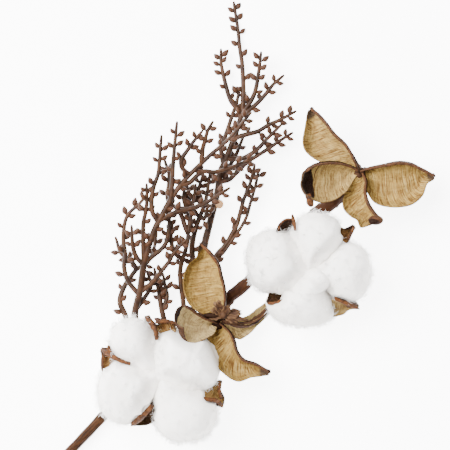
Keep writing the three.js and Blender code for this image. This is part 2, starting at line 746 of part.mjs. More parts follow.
// A boll's locks of cotton lie round its heart between the fins of its valves, whose bearings
// are listed anticlockwise from east. A lock is made of soft eggs, each with its middle and its
// half sizes east, north and up; the eggs of one lock are joined.
const BOLLS = {
  boll_1: {
    burr: "boll_1_burr",
    fins: [100, 157, 241, 338],
    locks: {
      boll_1_lock_1: { wedge: 1, eggs: [{ at: [-47.6, -62, 28.5], size: [11.8, 13.2, 15.5] }] },
      boll_1_lock_2: { wedge: 2, eggs: [{ at: [-49.4, -86.6, 27.5], size: [16.6, 15.9, 17] }] },
      boll_1_lock_3: { wedge: 3, eggs: [{ at: [-20.8, -96.6, 22.2], size: [16.3, 15.4, 22.6] }] },
      boll_1_lock_4: { wedge: 0, eggs: [{ at: [-21.6, -70.4, 28.5], size: [18.9, 16.4, 18.5] }] },
    },
  },
  boll_2: {
    burr: "boll_2_burr",
    fins: [44, 111, 215, 323],
    locks: {
      boll_2_lock_1: { wedge: 1, eggs: [{ at: [48.2, -8.5, 28.5], size: [14.2, 15.3, 17.2] }] },
      boll_2_lock_2: { wedge: 2, eggs: [{ at: [28.2, -19.4, 22.4], size: [16.6, 16.2, 22.8] }] },
      boll_2_lock_3: { wedge: 3, eggs: [{ at: [40.2, -40.2, 19.8], size: [17.5, 11.4, 20.2] }] },
      boll_2_lock_4: { wedge: 0, eggs: [{ at: [62.6, -23.9, 27.6], size: [13.2, 15.9, 17.5] }] },
    },
  },
};

// Above 2 the eggs are boxier than an ellipsoid, as locks are that press on each other. A core
// egg stands between each lock and the heart, so that the locks meet there.
const EGG_POWER = 2.35;
const CORE = { share: 0.42, height: 28.5, size: [9.5, 9.5, 13.5] };

/** How far a lock's surface swells in a direction: broad soft tufts, the same on every build. */
function tufts({ x, y, z }, phase) {
  return (
    1 +
    0.035 * Math.sin(3.1 * x + 1.3 * phase) * Math.cos(2.7 * y - phase) +
    0.03 * Math.sin(4.3 * z + 2.1 * y + 2 * phase)
  );
}

/** One egg of cotton, before its neighbours cut it. */
function eggBody({ at, size }, phase) {
  const egg = new THREE.IcosahedronGeometry(1, LOCK_DETAIL);
  const position = egg.getAttribute("position");
  const point = new THREE.Vector3();
  for (let i = 0; i < position.count; i++) {
    point.fromBufferAttribute(position, i);
    const swell = tufts(point, phase);
    const norm = point.toArray().reduce((sum, c) => sum + Math.abs(c) ** EGG_POWER, 0);
    point.multiplyScalar(swell / norm ** (1 / EGG_POWER));
    position.setXYZ(i, point.x * size[0], point.y * size[1], point.z * size[2]);
  }
  egg.translate(...at);
  return solidOf(egg);
}

/** A finished lock: kept between its two fins, clear of its neighbours, flat on the table. */
function lockBody(boll, { wedge, eggs }, phase, room) {
  const heart = vector(BURRS[boll.burr].heart);
  const after = boll.fins[wedge];
  const before = boll.fins[(wedge + 3) % 4];
  const core = heart.clone().lerp(vector(eggs[0].at), CORE.share).setZ(CORE.height);
  const all = [...eggs, { at: core.toArray(), size: CORE.size }];
  let lock = joined(all.map((egg) => eggBody(egg, phase)));
  for (const bearing of [before + 90, after - 90]) {
    const a = radians(bearing);
    const through = heart.x * Math.cos(a) + heart.y * Math.sin(a);
    lock = lock.trimByPlane([Math.cos(a), Math.sin(a), 0], through + LOCK_GAP / 2);
  }
  lock = lock.trimByPlane([0, 0, 1], 0);
  return largest(room.reduce((body, other) => body.subtract(other), lock));
}

// Calyx

// The torn brown membranes at the heart of the inner husk: small pointed flakes on a knob.
const CALYX = {
  heart: [-0.8, -46.6, 25.6],
  knob: 2.3,
  flakes: [
    { bearing: 8, length: 9.5, width: 3.4, rise: 0.5 },
    { bearing: 58, length: 7, width: 3, rise: 3.2 },
    { bearing: 118, length: 7.5, width: 2.8, rise: 3.6 },
    { bearing: 335, length: 7.5, width: 3, rise: -0.4 },
  ],
};

/** One flake: a thin pointed blade. */
function flake(heart, { bearing, length, width, rise }) {
  const a = radians(bearing);
  const along = new THREE.Vector3(Math.cos(a), Math.sin(a), rise / length).normalize();
  const across = new THREE.Vector3().crossVectors(UP, along).normalize();
  const over = new THREE.Vector3().crossVectors(along, across);
  const rings = [
    [0, 0.5],
    [0.55, 1],
    [1, 0.18],
  ].map(([u, share]) =>
    [[-1, -1], [1, -1], [1, 1], [-1, 1]].map(([s, t]) =>
      heart
        .clone()
        .addScaledVector(along, length * u)
        .addScaledVector(across, (s * width * share) / 2)
        .addScaledVector(over, t * 0.35),
    ),
  );
  return loft(rings);
}

/** The knob and its flakes in one body. */
function calyxBody() {
  const heart = vector(CALYX.heart);
  const knob = new THREE.IcosahedronGeometry(CALYX.knob, 1);
  knob.translate(...heart);
  return joined([solidOf(knob), ...CALYX.flakes.map((f) => flake(heart, f))]);
}

// The bunch

/** A named mesh of one solid in one of the colours. */
function piece(name, solid, colour) {
  const mesh = new THREE.Mesh(
    geometryOf(solid),
    new THREE.MeshStandardMaterial({ ...COLOURS[colour], metalness: 0 }),
  );
  mesh.name = name;
  return mesh;
}

const bunch = new THREE.Group();
const stemRoom = stemBody(CLEARANCE);

const holes = Object.values(TWIGS).map(footHole);
const stem = holes.reduce((body, hole) => body.subtract(hole), stemBody(0));
bunch.add(piece("stem", stem.trimByPlane([0, 0, 1], 0), "bark"));

for (const [name, spec] of Object.entries(TWIGS)) bunch.add(piece(name, twigBody(spec), "twig"));

const burrs = {};
for (const [name, spec] of Object.entries(BURRS)) {
  burrs[name] = largest(burrBody(spec).subtract(stemRoom));
  bunch.add(piece(name, burrs[name], "husk"));
}
const huskRoom = burrBody(BURRS.husk_1_burr, CLEARANCE);
bunch.add(piece("husk_1_calyx", largest(calyxBody().subtract(huskRoom)), "calyx"));

Object.values(BOLLS).forEach((boll, bollNumber) => {
  const room = [stemRoom, burrBody(BURRS[boll.burr], CLEARANCE), huskRoom];
  Object.entries(boll.locks).forEach(([name, spec], lockNumber) => {
    const lock = lockBody(boll, spec, 1 + lockNumber + 4 * bollNumber, room);
    bunch.add(piece(name, lock, "cotton"));
  });
});

bunch.position.set(-OUTLINE_MIDDLE[0], -OUTLINE_MIDDLE[1], 0);

export default bunch;
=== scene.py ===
"""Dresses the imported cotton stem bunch: bark, budded twigs, dry burrs and loose white cotton."""

import logging
import math
from collections.abc import Callable, Sequence
from dataclasses import dataclass
from enum import Enum

import bmesh
import bpy
import numpy as np
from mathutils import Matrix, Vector, noise

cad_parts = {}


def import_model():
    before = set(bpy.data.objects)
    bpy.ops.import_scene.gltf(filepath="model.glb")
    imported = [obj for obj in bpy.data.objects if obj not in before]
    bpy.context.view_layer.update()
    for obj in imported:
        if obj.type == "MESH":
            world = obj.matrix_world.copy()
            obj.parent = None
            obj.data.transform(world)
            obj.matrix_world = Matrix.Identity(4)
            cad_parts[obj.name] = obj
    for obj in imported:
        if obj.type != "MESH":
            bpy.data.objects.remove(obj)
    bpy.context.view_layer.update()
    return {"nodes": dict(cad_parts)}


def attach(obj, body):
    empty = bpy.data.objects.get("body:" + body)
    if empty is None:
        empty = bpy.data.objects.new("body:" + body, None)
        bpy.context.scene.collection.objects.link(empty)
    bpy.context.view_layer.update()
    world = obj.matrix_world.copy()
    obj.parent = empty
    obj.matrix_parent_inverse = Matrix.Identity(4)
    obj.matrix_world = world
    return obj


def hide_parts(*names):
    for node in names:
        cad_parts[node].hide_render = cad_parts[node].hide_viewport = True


LOG = logging.getLogger("cotton_stem")

Point = tuple[float, float, float]
PlanPoint = tuple[float, float]
Colour = tuple[float, float, float]

# Everything below is in millimetres in the plan of the CAD model, whose zero point is the middle
# of the photograph, until a Skin turns it into metres in the row frame.
MM = 0.001
PHOTO_WIDTH = 450
MM_PER_PIXEL = 0.52
OUTLINE_MIDDLE = np.array([-0.28, -17.05, 0.0])
UP = np.array([0.0, 0.0, 1.0])
TABLE_GAP = 0.02

# Points that are closer than this, in metres, become one.
WELD = 2e-6
CORNER_WELD = 1e-5

BODY = "root"

# These are the CAD model's own values.
BURR_WALL = 0.8
TWIG_TIP_RADIUS = 0.34
SHOOT_RADIUS = 0.78
BUD_STEP = 6.2
BUD_LENGTH = 3.5
BUD_ANGLE = 48
BUD_LEAN = 38
BUD_END_GAP = 3.4


class Slot(Enum):
    """The record's material slots."""

    BARK = "bark"
    TWIG = "twig"
    COTTON = "cotton"
    HUSK = "husk"
    CALYX = "calyx"


def metres(points: np.ndarray) -> np.ndarray:
    """Turns points of the plan, in millimetres, into metres about the middle of the outline."""
    return (np.asarray(points, float) - OUTLINE_MIDDLE) * MM


def unit(vectors: np.ndarray) -> np.ndarray:
    """Returns vectors at length one."""
    lengths = np.linalg.norm(vectors, axis=-1, keepdims=True)
    return vectors / np.maximum(lengths, 1e-9)


def ramp(values: np.ndarray, zero: float, one: float) -> np.ndarray:
    """Returns 0 where the values are at the first number, 1 at the second, even between."""
    return np.clip((values - zero) / (one - zero), 0, 1)


def bell(values: np.ndarray, width: float) -> np.ndarray:
    """Returns 1 where the values are 0, falling softly to both sides over a width."""
    return np.exp(-((values / width) ** 2))


def cloud(points: np.ndarray, size: float) -> np.ndarray:
    """Reads smooth noise at many points.

    Args:
        points: An array of points in millimetres.
        size: How far apart its swells are, in millimetres.

    Returns:
        A value from about -1 to 1 for each point.
    """
    flat = np.asarray(points, float).reshape(-1, 3) / size
    values = [noise.noise(Vector(p)) for p in flat.tolist()]
    return np.array(values).reshape(np.asarray(points).shape[:-1])


class Route:
    """A smooth line through points, the same one that the CAD model draws."""

    SAMPLES = 400

    def __init__(self, points: Sequence[Point] | np.ndarray) -> None:
        """Keeps the points and measures the line.

        Args:
            points: The points that the line passes through, in millimetres.
        """
        self.points = np.asarray(points, float)
        self.shares = np.linspace(0.0, 1.0, self.SAMPLES + 1)
        steps = np.linalg.norm(np.diff(self.at(self.shares), axis=0), axis=1)
        self.lengths = np.concatenate([[0.0], np.cumsum(steps)])

    @property
    def length(self) -> float:
        """The line's length in millimetres."""
        return float(self.lengths[-1])

    def at(self, share: float | np.ndarray) -> np.ndarray:
        """Finds places on the line by its points.

        Args:
            share: From 0 at the first point to 1 at the last, equal for each stretch.

        Returns:
            One place for each share.
        """
        share = np.atleast_1d(np.asarray(share, float))
        first = 2 * self.points[0] - self.points[1]
        last = 2 * self.points[-1] - self.points[-2]
        padded = np.vstack([first, self.points, last])
        scaled = share * (len(self.points) - 1)
        index = np.clip(scaled.astype(int), 0, len(self.points) - 2)
        w = (scaled - index)[:, None]
        before, start, end, after = (padded[index + k] for k in range(4))
        leave = (end - before) / 2
        arrive = (after - start) / 2
        bend = 3 * (end - start) - 2 * leave - arrive
        return start + leave * w + bend * w**2 + (2 * (start - end) + leave + arrive) * w**3

    def paced(self, share: float | np.ndarray) -> np.ndarray:
        """Turns shares of the line's length into shares by its points."""
        return np.interp(np.atleast_1d(share) * self.length, self.lengths, self.shares)

    def along(self, share: float | np.ndarray) -> np.ndarray:
        """Finds places on the line by shares of its length."""
        return self.at(self.paced(share))

    def heading(self, share: float | np.ndarray) -> np.ndarray:
        """Finds which way the line runs.

        Args:
            share: From 0 at the first point to 1 at the last, equal for each stretch.

        Returns:
            A direction of length one for each share.
        """
        share = np.atleast_1d(np.asarray(share, float))
        ahead = self.at(np.minimum(share + 1e-4, 1.0))
        return unit(ahead - self.at(np.maximum(share - 1e-4, 0.0)))


class Skin:
    """The surfaces of one piece, gathered before they become its mesh."""

    def __init__(self) -> None:
        """Starts with no surface."""
        self.vertices: list[np.ndarray] = []
        self.faces: list[tuple[int, ...]] = []
        self.values: dict[str, list[np.ndarray]] = {}
        self.count = 0

    def _keep(self, points: np.ndarray, values: dict[str, np.ndarray]) -> int:
        """Adds points with their values.

        Args:
            points: A list of points.
            values: One number for each point, under the name that a material reads.

        Returns:
            The number of the first point.
        """
        start = self.count
        self.vertices.append(points)
        for name, value in values.items():
            self.values.setdefault(name, []).append(np.asarray(value, float).reshape(-1))
        self.count += len(points)
        return start

    @staticmethod
    def _nets(points: np.ndarray, values: dict[str, float | np.ndarray]) -> dict[str, np.ndarray]:
        """Returns values as nets of numbers, one for each point of a net."""
        return {name: np.broadcast_to(v, points.shape[:2]) for name, v in values.items()}

    def grid(self, points: np.ndarray, closed: bool, **values: float | np.ndarray) -> None:
        """Adds a net of points as a surface.

        Args:
            points: Rows of points, as an array of rows, columns and coordinates.
            closed: Whether each row joins up with its own start.
            **values: A number for all or for each point, under the name that a material reads.
        """
        rows, columns = points.shape[:2]
        start = self._keep(points.reshape(-1, 3), self._nets(points, values))
        last = columns if closed else columns - 1
        for i in range(rows - 1):
            for j in range(last):
                a = start + i * columns + j
                b = start + i * columns + (j + 1) % columns
                self.faces.append((a, b, b + columns, a + columns))

    def tube(self, points: np.ndarray, **values: float | np.ndarray) -> None:
        """Adds a net whose rows are rings, with both ends closed to a middle point.

        Args:
            points: Rings of points, as an array of rings, points and coordinates.
            **values: A number for all or for each point, under the name that a material reads.
        """
        rows, columns = points.shape[:2]
        start = self.count
        nets = self._nets(points, values)
        self.grid(points, True, **nets)
        for row, turned in ((0, True), (rows - 1, False)):
            tip = {name: net[row, :1] for name, net in nets.items()}
            middle = self._keep(points[row].mean(axis=0)[None], tip)
            ring = [start + row * columns + j for j in range(columns)]
            for j in range(columns):
                a, b = ring[j], ring[(j + 1) % columns]
                self.faces.append((b, a, middle) if turned else (a, b, middle))

    def mesh(self, name: str) -> bpy.types.Mesh:
        """Makes the mesh.

        Args:
            name: The mesh's name.

        Returns:
            The new mesh, in metres of the row frame.
        """
        mesh = bpy.data.meshes.new(name)
        mesh.from_pydata(metres(np.vstack(self.vertices)).tolist(), [], self.faces)
        for key, parts in self.values.items():
            attribute = mesh.attributes.new(key, "FLOAT", "POINT")
            attribute.data.foreach_set("value", np.concatenate(parts))
        editing = bmesh.new()
        editing.from_mesh(mesh)
        bmesh.ops.remove_doubles(editing, verts=editing.verts, dist=WELD)
        bmesh.ops.recalc_face_normals(editing, faces=editing.faces)
        editing.to_mesh(mesh)
        editing.free()
        mesh.shade_smooth()
        return mesh

    def piece(self, name: str) -> bpy.types.Object:
        """Makes the object, at the origin."""
        return placed(name, self.mesh(name))


def placed(name: str, data: bpy.types.ID) -> bpy.types.Object:
    """Puts a mesh, a light or a camera in the scene.

    Args:
        name: The object's name.
        data: The mesh, light or camera.

    Returns:
        The new object, at the origin.
    """
    thing = bpy.data.objects.new(name, data)
    bpy.context.scene.collection.objects.link(thing)
    return thing


def rings_along(
    route: Route,
    radius: Callable[[np.ndarray], np.ndarray],
    sides: int,
    spacing: float,
    up: np.ndarray = UP,
) -> tuple[np.ndarray, np.ndarray]:
    """Sets rings round a line.

    Args:
        route: The line.
        radius: Gives the radius in millimetres at each share of the line's length.
        sides: How many points a ring has.
        spacing: How far apart the rings are, in millimetres.
        up: The direction that the rings are counted from.

    Returns:
        The rings' points, and the share of the length at each ring.
    """
    share = np.linspace(0.0, 1.0, max(3, math.ceil(route.length / spacing) + 1))
    centre = route.along(share)
    heading = route.heading(route.paced(share))
    across = unit(np.cross(heading, up))
    over = np.cross(heading, across)
    angle = 2 * math.pi * (np.arange(sides) + 0.5) / sides
    size = radius(share)[:, None, None]
    points = centre[:, None] + size * (
        np.cos(angle)[None, :, None] * across[:, None]
        + np.sin(angle)[None, :, None] * over[:, None]
    )
    return points, share


def settle(piece: bpy.types.Object, node: str, finish: bpy.types.Material) -> None:
    """Gives a piece its finish and its place in the frame.

    Args:
        piece: The finished piece.
        node: The CAD node that it stands for.
        finish: Its material.
    """
    piece.name = f"{node}_dressed"
    piece.data.materials.clear()
    piece.data.materials.append(finish)
    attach(piece, BODY)
    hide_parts(node)
    LOG.info("%s: %d faces", piece.name, len(piece.data.polygons))


class Signal:
    """A node's output that takes part in arithmetic."""

    def __init__(self, nodes: "Nodes", socket: bpy.types.NodeSocket) -> None:
        """Wraps an output socket of a tree."""
        self.nodes = nodes
        self.socket = socket

    def other(self, output: str) -> "Signal":
        """Returns another output of the same node."""
        return Signal(self.nodes, self.socket.node.outputs[output])

    def _math(self, operation: str, *values: "Signal | float") -> "Signal":
        """Adds one Math node over the values."""
        return self.nodes.node("ShaderNodeMath", dict(enumerate(values)), operation=operation)

    def __add__(self, other: "Signal | float") -> "Signal":
        """Returns the sum."""
        return self._math("ADD", self, other)

    def __radd__(self, other: float) -> "Signal":
        """Returns the sum, from the right."""
        return self._math("ADD", other, self)

    def __sub__(self, other: "Signal | float") -> "Signal":
        """Returns the difference."""
        return self._math("SUBTRACT", self, other)

    def __rsub__(self, other: float) -> "Signal":
        """Returns the difference, from the right."""
        return self._math("SUBTRACT", other, self)

    def __mul__(self, other: "Signal | float") -> "Signal":
        """Returns the product."""
        return self._math("MULTIPLY", self, other)

    def between(self, low: float, high: float) -> "Signal":
        """Rises smoothly from 0 at one value to 1 at another.

        Args:
            low: The value that gives 0.
            high: The value that gives 1. It may be the lower of the two.

        Returns:
            The smooth step.
        """
        if low > high:
            return 1.0 - self.between(high, low)
        sockets = {"Value": self, "From Min": low, "From Max": high}
        return self.nodes.node("ShaderNodeMapRange", sockets, interpolation_type="SMOOTHSTEP")


class Nodes:
    """The nodes of one tree, of a material or of Geometry Nodes."""

    def __init__(self, tree: bpy.types.NodeTree) -> None:
        """Keeps the tree."""
        self.tree = tree

    def feed(self, socket: bpy.types.NodeSocket, value: object) -> None:
        """Links a signal to a socket, or several in order, or sets the socket's value.

        Args:
            socket: The input.
            value: A signal, a list of signals, or what the socket takes by itself.
        """
        if isinstance(value, Signal):
            self.tree.links.new(value.socket, socket)
        elif isinstance(value, list):
            for part in value:
                self.feed(socket, part)
        elif socket.type == "RGBA" and len(value) == 3:
            socket.default_value = (*value, 1.0)
        else:
            socket.default_value = value

    def node(
        self,
        kind: str,
        sockets: dict[str | int, object],
        output: str | int = 0,
        **settings: str,
    ) -> Signal:
        """Adds any node.

        Args:
            kind: The node's type.
            sockets: Values or signals for its inputs, by name or number.
            output: The output to return, by name or number.
            **settings: The node's own properties, which are set first.

        Returns:
            The chosen output.
        """
        node = self.tree.nodes.new(kind)
        for key, value in settings.items():
            setattr(node, key, value)
        for key, value in sockets.items():
            self.feed(node.inputs[key], value)
        return Signal(self, node.outputs[output])


class Recipe(Nodes):
    """A material, written as expressions."""

    def __init__(self, name: str, **constants: float | Colour) -> None:
        """Starts a material with one Principled shader.

        Args:
            name: The material's name.
            **constants: Values set on the shader's own sockets, by name with underscores.
        """
        self.material = bpy.data.materials.new(name)
        self.material.use_nodes = True
        super().__init__(self.material.node_tree)
        self.shader = self.tree.nodes["Principled BSDF"]
        for key, value in constants.items():
            self.feed(self.shader.inputs[key.replace("_", " ")], value)

    def place(self) -> Signal:
        """Returns the piece's own coordinates, in metres."""
        return self.node("ShaderNodeTexCoord", {}, "Object")

    def value(self, name: str) -> Signal:
        """Returns a number that the mesh carries at each point."""
        return self.node("ShaderNodeAttribute", {}, "Fac", attribute_name=name)

    def _noise(
        self, vector: Signal, scale: float, detail: float, distortion: float = 0.0
    ) -> Signal:
        """Adds a noise texture."""
        sockets = {"Vector": vector, "Scale": scale, "Detail": detail, "Distortion": distortion}
        return self.node("ShaderNodeTexNoise", sockets, noise_dimensions="3D")

    def mottle(self, size: float, detail: float = 3.0, vector: Signal | None = None) -> Signal:
        """Returns cloudy noise from 0 to 1, with clouds of a size in millimetres."""
        return self._noise(vector or self.place(), 1.0 / (size * MM), detail)

    def blend(self, amount: Signal | float, low: Signal | Colour, high: Signal | Colour) -> Signal:
        """Mixes two colours, from the first at 0 to the second at 1."""
        sockets = {0: amount, 6: low, 7: high}
        return self.node("ShaderNodeMix", sockets, 2, data_type="RGBA")

    def streaks(self, line: dict[int, Signal], detail: float, distortion: float) -> Signal:
        """Returns noise over coordinates that follow a surface's own lines."""
        return self._noise(self.node("ShaderNodeCombineXYZ", line), 1.0, detail, distortion)

    def vary(self, socket: str, value: Signal) -> None:
        """Feeds one of the shader's sockets with what changes over the surface."""
        self.feed(self.shader.inputs[socket], value)

    def emboss(self, height: Signal, depth: float, strength: float = 1.0) -> None:
        """Raises the surface with a height from 0 to 1, whose depth is in millimetres."""
        sockets = {"Height": height, "Distance": depth * MM, "Strength": strength}
        self.vary("Normal", self.node("ShaderNodeBump", sockets))


@dataclass(frozen=True)
class BarkFinish:
    """The stem: plain brown bark below, darker wrinkled tape above."""

    bark: Colour = (0.037, 0.0135, 0.0038)
    crack: Colour = (0.010, 0.0036, 0.0012)
    dust: Colour = (0.052, 0.023, 0.0090)
    tape: Colour = (0.027, 0.0086, 0.0023)
    run: float = 44.0

    def material(self) -> bpy.types.Material:
        """Builds the finish.

        Returns:
            The material.
        """
        recipe = Recipe("brown bark", Roughness=0.65, Specular_IOR_Level=0.08)
        turned = recipe.node("ShaderNodeMapping", {
            "Vector": recipe.place(), "Scale": (7.0, 1.0, 1.0),
            "Rotation": (0, 0, math.radians(self.run)),
        }, vector_type="TEXTURE")
        grain = recipe.mottle(0.8, 5, turned)
        patches = recipe.mottle(5, 3)
        taped = recipe.value("taped")
        bare = recipe.blend(grain.between(0.34, 0.60), self.crack, self.bark)
        bare = recipe.blend(patches.between(0.58, 0.80) * 0.5, bare, self.dust)
        # On the tape the grain lays bark-coloured streaks on the ridges of its folds and crack
        # colour between them: partly grain, partly painted highlight and painted shade.
        tape_grain_and_sheen = recipe.blend(grain.between(0.50, 0.66) * 0.7, self.tape, self.bark)
        tape_grain_and_sheen = recipe.blend(grain.between(0.44, 0.34) * 0.6, tape_grain_and_sheen, self.crack)
        recipe.vary("Base Color", recipe.blend(taped, bare, tape_grain_and_sheen))
        recipe.emboss(grain, 0.45, 0.9)
        return recipe.material


@dataclass(frozen=True)
class TwigFinish:
    """The twigs: smooth chocolate brown with a painted highlight on the bud tips, and a pale scar.
    """

    deep: Colour = (0.0165, 0.0068, 0.0030)
    warm: Colour = (0.043, 0.0180, 0.0078)
    bud: Colour = (0.044, 0.0170, 0.0075)
    # Painted highlight: the lighter colour at the tip of each bud.
    tip: Colour = (0.060, 0.026, 0.012)
    scar: Colour = (0.400, 0.225, 0.110)

    def material(self) -> bpy.types.Material:
        """Builds the finish.

        Returns:
            The material.
        """
        recipe = Recipe("smooth twig", Roughness=0.5, Specular_IOR_Level=0.12)
        tip = recipe.value("tip")
        skin = recipe.blend(recipe.mottle(5, 3).between(0.35, 0.68), self.deep, self.warm)
        budded = recipe.blend(tip.between(0.1, 0.4) * 0.8, skin, self.bud)
        # Painted highlight towards each bud's tip.
        ended = recipe.blend(tip.between(0.72, 1.0) * 0.7, budded, self.tip)
        recipe.vary("Base Color", recipe.blend(recipe.value("scar"), ended, self.scar))
        recipe.emboss(recipe.mottle(1.2, 2), 0.12, 0.5)
        return recipe.material


@dataclass(frozen=True)
class CottonFinish:
    """The cotton: soft, white, a little warm, with a few dark specks of leaf and painted shade
    towards its lower parts.
    """

    fibre: Colour = (0.95, 0.915, 0.875)
    hollow: Colour = (0.91, 0.87, 0.825)
    # Painted shade: the fibres are laid a little greyer than the cotton beneath them.
    strand: Colour = (0.80, 0.785, 0.765)
    # Painted shade, laid towards the lower parts of each lock: the valleys between locks and down
    # its sides.
    deep: Colour = (0.70, 0.665, 0.60)
    speck: Colour = (0.17, 0.10, 0.06)
    speck_gap: float = 7.5

    def material(self) -> bpy.types.Material:
        """Builds the finish.

        Returns:
            The material.
        """
        recipe = Recipe(
            "loose cotton",
            Roughness=1.0,
            Specular_IOR_Level=0.1,
            Subsurface_Weight=0.2,
            Subsurface_Radius=(0.004, 0.004, 0.004),
            Subsurface_Scale=1.0,
        )
        soft = recipe.mottle(7, 3)
        sockets = {"Vector": recipe.place(), "Scale": 1 / (self.speck_gap * MM)}
        specks = recipe.node("ShaderNodeTexVoronoi", sockets, "Distance", feature="F1")
        white = recipe.blend(soft.between(0.3, 0.65), self.hollow, self.fibre)
        dark = specks.between(0.05, 0.02) * 0.8
        # Painted shade, darker towards the bottom of each lock.
        white = recipe.blend(recipe.value("deep") * 0.6, white, self.deep)
        # Painted shade on the fibres, which are greyer than the skin.
        stranded = recipe.blend(recipe.value("strand"), white, self.strand)
        recipe.vary("Base Color", recipe.blend(dark, stranded, self.speck))
        recipe.emboss(recipe.mottle(0.7, 5), 0.35, 0.5)
        return recipe.material


@dataclass(frozen=True)
class HuskFinish:
    """A burr: straw-coloured linings with fine lines across, dark rims and beaks, brown backs."""

    name: str
    lining: Colour = (0.238, 0.142, 0.035)
    pale: Colour = (0.318, 0.202, 0.054)
    # Cream, laid by the pale share: partly the valve's own paler colour, partly painted light on
    # valves that face away from the lamps.
    cream: Colour = (0.450, 0.330, 0.150)
    # Painted highlight: the pale colour on the raised strokes of the lining.
    light: Colour = (0.440, 0.310, 0.115)
    wood: Colour = (0.090, 0.036, 0.011)
    wood_pale: Colour = (0.210, 0.105, 0.034)
    line: Colour = (0.070, 0.026, 0.006)
    rim: Colour = (0.034, 0.0155, 0.0085)
    back: Colour = (0.066, 0.030, 0.014)
    beak: Colour = (0.060, 0.038, 0.026)
    shade: Colour = (0.0105, 0.0036, 0.0015)
    ridge: Colour = (0.092, 0.034, 0.011)

    def material(self) -> bpy.types.Material:
        """Builds the finish.

        Returns:
            The material.
        """
        recipe = Recipe(self.name, Roughness=0.65, Specular_IOR_Level=0.07)
        along, across = recipe.value("along"), recipe.value("across")
        inside, edge = recipe.value("inside"), recipe.value("edge")
        phase = recipe.value("phase")
        crosswise = {0: along * 66 - across * 12, 1: across * 2.8, 2: phase}
        strokes = recipe.streaks(crosswise, 4.0, 0.35)
        patches = recipe.mottle(4, 4)
        crinkle = recipe.mottle(1.3, 3)
        straw = recipe.blend(patches.between(0.32, 0.68), self.lining, self.pale)
        # Paler towards cream: partly the valve's own colour, partly painted light.
        straw = recipe.blend(recipe.value("bleach"), straw, self.cream)
        bark = recipe.blend(patches.between(0.40, 0.60), self.wood, self.wood_pale)
        straw = recipe.blend(recipe.value("woody"), straw, bark)
        # Painted shade: a darker band along the fold low in the trough.
        fold = across.between(0.47, 0.58) * across.between(0.74, 0.62) * along.between(0.05, 0.2)
        straw = recipe.blend(fold * 0.22, straw, self.line)
        lengthwise = {0: along * 2.4, 1: across * 9 + along * 2, 2: phase + 7}
        creases = recipe.streaks(lengthwise, 3.0, 1.2)
        straw = recipe.blend(creases.between(0.44, 0.32) * 0.36, straw, self.line)
        pitted = recipe.blend(crinkle.between(0.46, 0.34) * 0.3, straw, self.line)
        strength = recipe.mottle(6, 2).between(0.38, 0.60) * 0.5 + 0.33
        strength = strength * (1 - recipe.value("calm"))
        # Painted highlights on the raised strokes.
        shining = recipe.blend(strokes.between(0.53, 0.62) * strength * 0.8, pitted, self.light)
        drawn = recipe.blend(strokes.between(0.49, 0.39) * strength, shining, self.line)
        tipped = recipe.blend(along.between(0.89, 0.93) * 0.9, drawn, self.beak)
        # Painted shade in the open hole of a curled valve.
        hollow = recipe.blend(recipe.value("hollow").between(0.45, 0.6), tipped, self.shade)
        outer = recipe.blend(recipe.mottle(2, 4).between(0.4, 0.65), self.rim, self.back)
        walls = recipe.blend(inside, outer, hollow)
        # The dark share blends in the shade colour: partly the dark brown of some valves, partly
        # painted shade in deep cups and on valves that curve away from the light.
        shaded = recipe.blend(recipe.value("dark"), walls, self.shade)
        edged = recipe.blend(edge.between(0.35, 0.8), shaded, self.rim)
        lit = recipe.blend(recipe.mottle(1.6, 4).between(0.38, 0.62), self.rim, self.ridge)
        recipe.vary("Base Color", recipe.blend(recipe.value("ridge"), edged, lit))
        recipe.emboss(strokes + crinkle * 0.6 + creases * 0.8, 1.0, 1.2)
        return recipe.material


@dataclass(frozen=True)
class CalyxFinish:
    """The torn membranes: thin, papery and reddish brown."""

    deep: Colour = (0.020, 0.0072, 0.0028)
    lit: Colour = (0.046, 0.020, 0.0078)
    rim: Colour = (0.110, 0.060, 0.027)

    def material(self) -> bpy.types.Material:
        """Builds the finish.

        Returns:
            The material.
        """
        recipe = Recipe("torn membrane", Roughness=0.7, Specular_IOR_Level=0.15)
        skin = recipe.blend(recipe.mottle(2.5, 4).between(0.35, 0.6), self.deep, self.lit)
        pale_edge = recipe.value("edge").between(0.7, 1.0) * 0.8
        recipe.vary("Base Color", recipe.blend(pale_edge, skin, self.rim))
        recipe.emboss(recipe.mottle(0.8, 4), 0.3)
        return recipe.material


@dataclass(frozen=True)
class PaperFinish:
    """The plain white floor."""

    white: Colour = (0.93, 0.93, 0.93)
    glow: float = 7.0

    def material(self) -> bpy.types.Material:
        """Builds the finish.

        Returns:
            The material.
        """
        return Recipe(
            "white paper",
            Base_Color=self.white,
            Roughness=1.0,
            Specular_IOR_Level=0.0,
            Emission_Color=self.white,
            Emission_Strength=self.glow,
        ).material


def ball(centre: Point, size: Point, rings: int, sides: int) -> np.ndarray:
    """Sets rings of points on a ball.

    Args:
        centre: The ball's middle, in millimetres.
        size: Its half sizes east, north and up.
        rings: How many rings it has from pole to pole.
        sides: How many points a ring has.

    Returns:
        The rings' points.
    """
    polar = np.linspace(0.04, math.pi - 0.04, rings)[:, None]
    turn = np.linspace(0.0, 2 * math.pi, sides, endpoint=False)[None]
    east, north, up = np.sin(polar) * np.cos(turn), np.sin(polar) * np.sin(turn), np.cos(polar)
    return np.array(centre) + np.stack([east, north, up + 0 * turn], -1) * np.array(size)


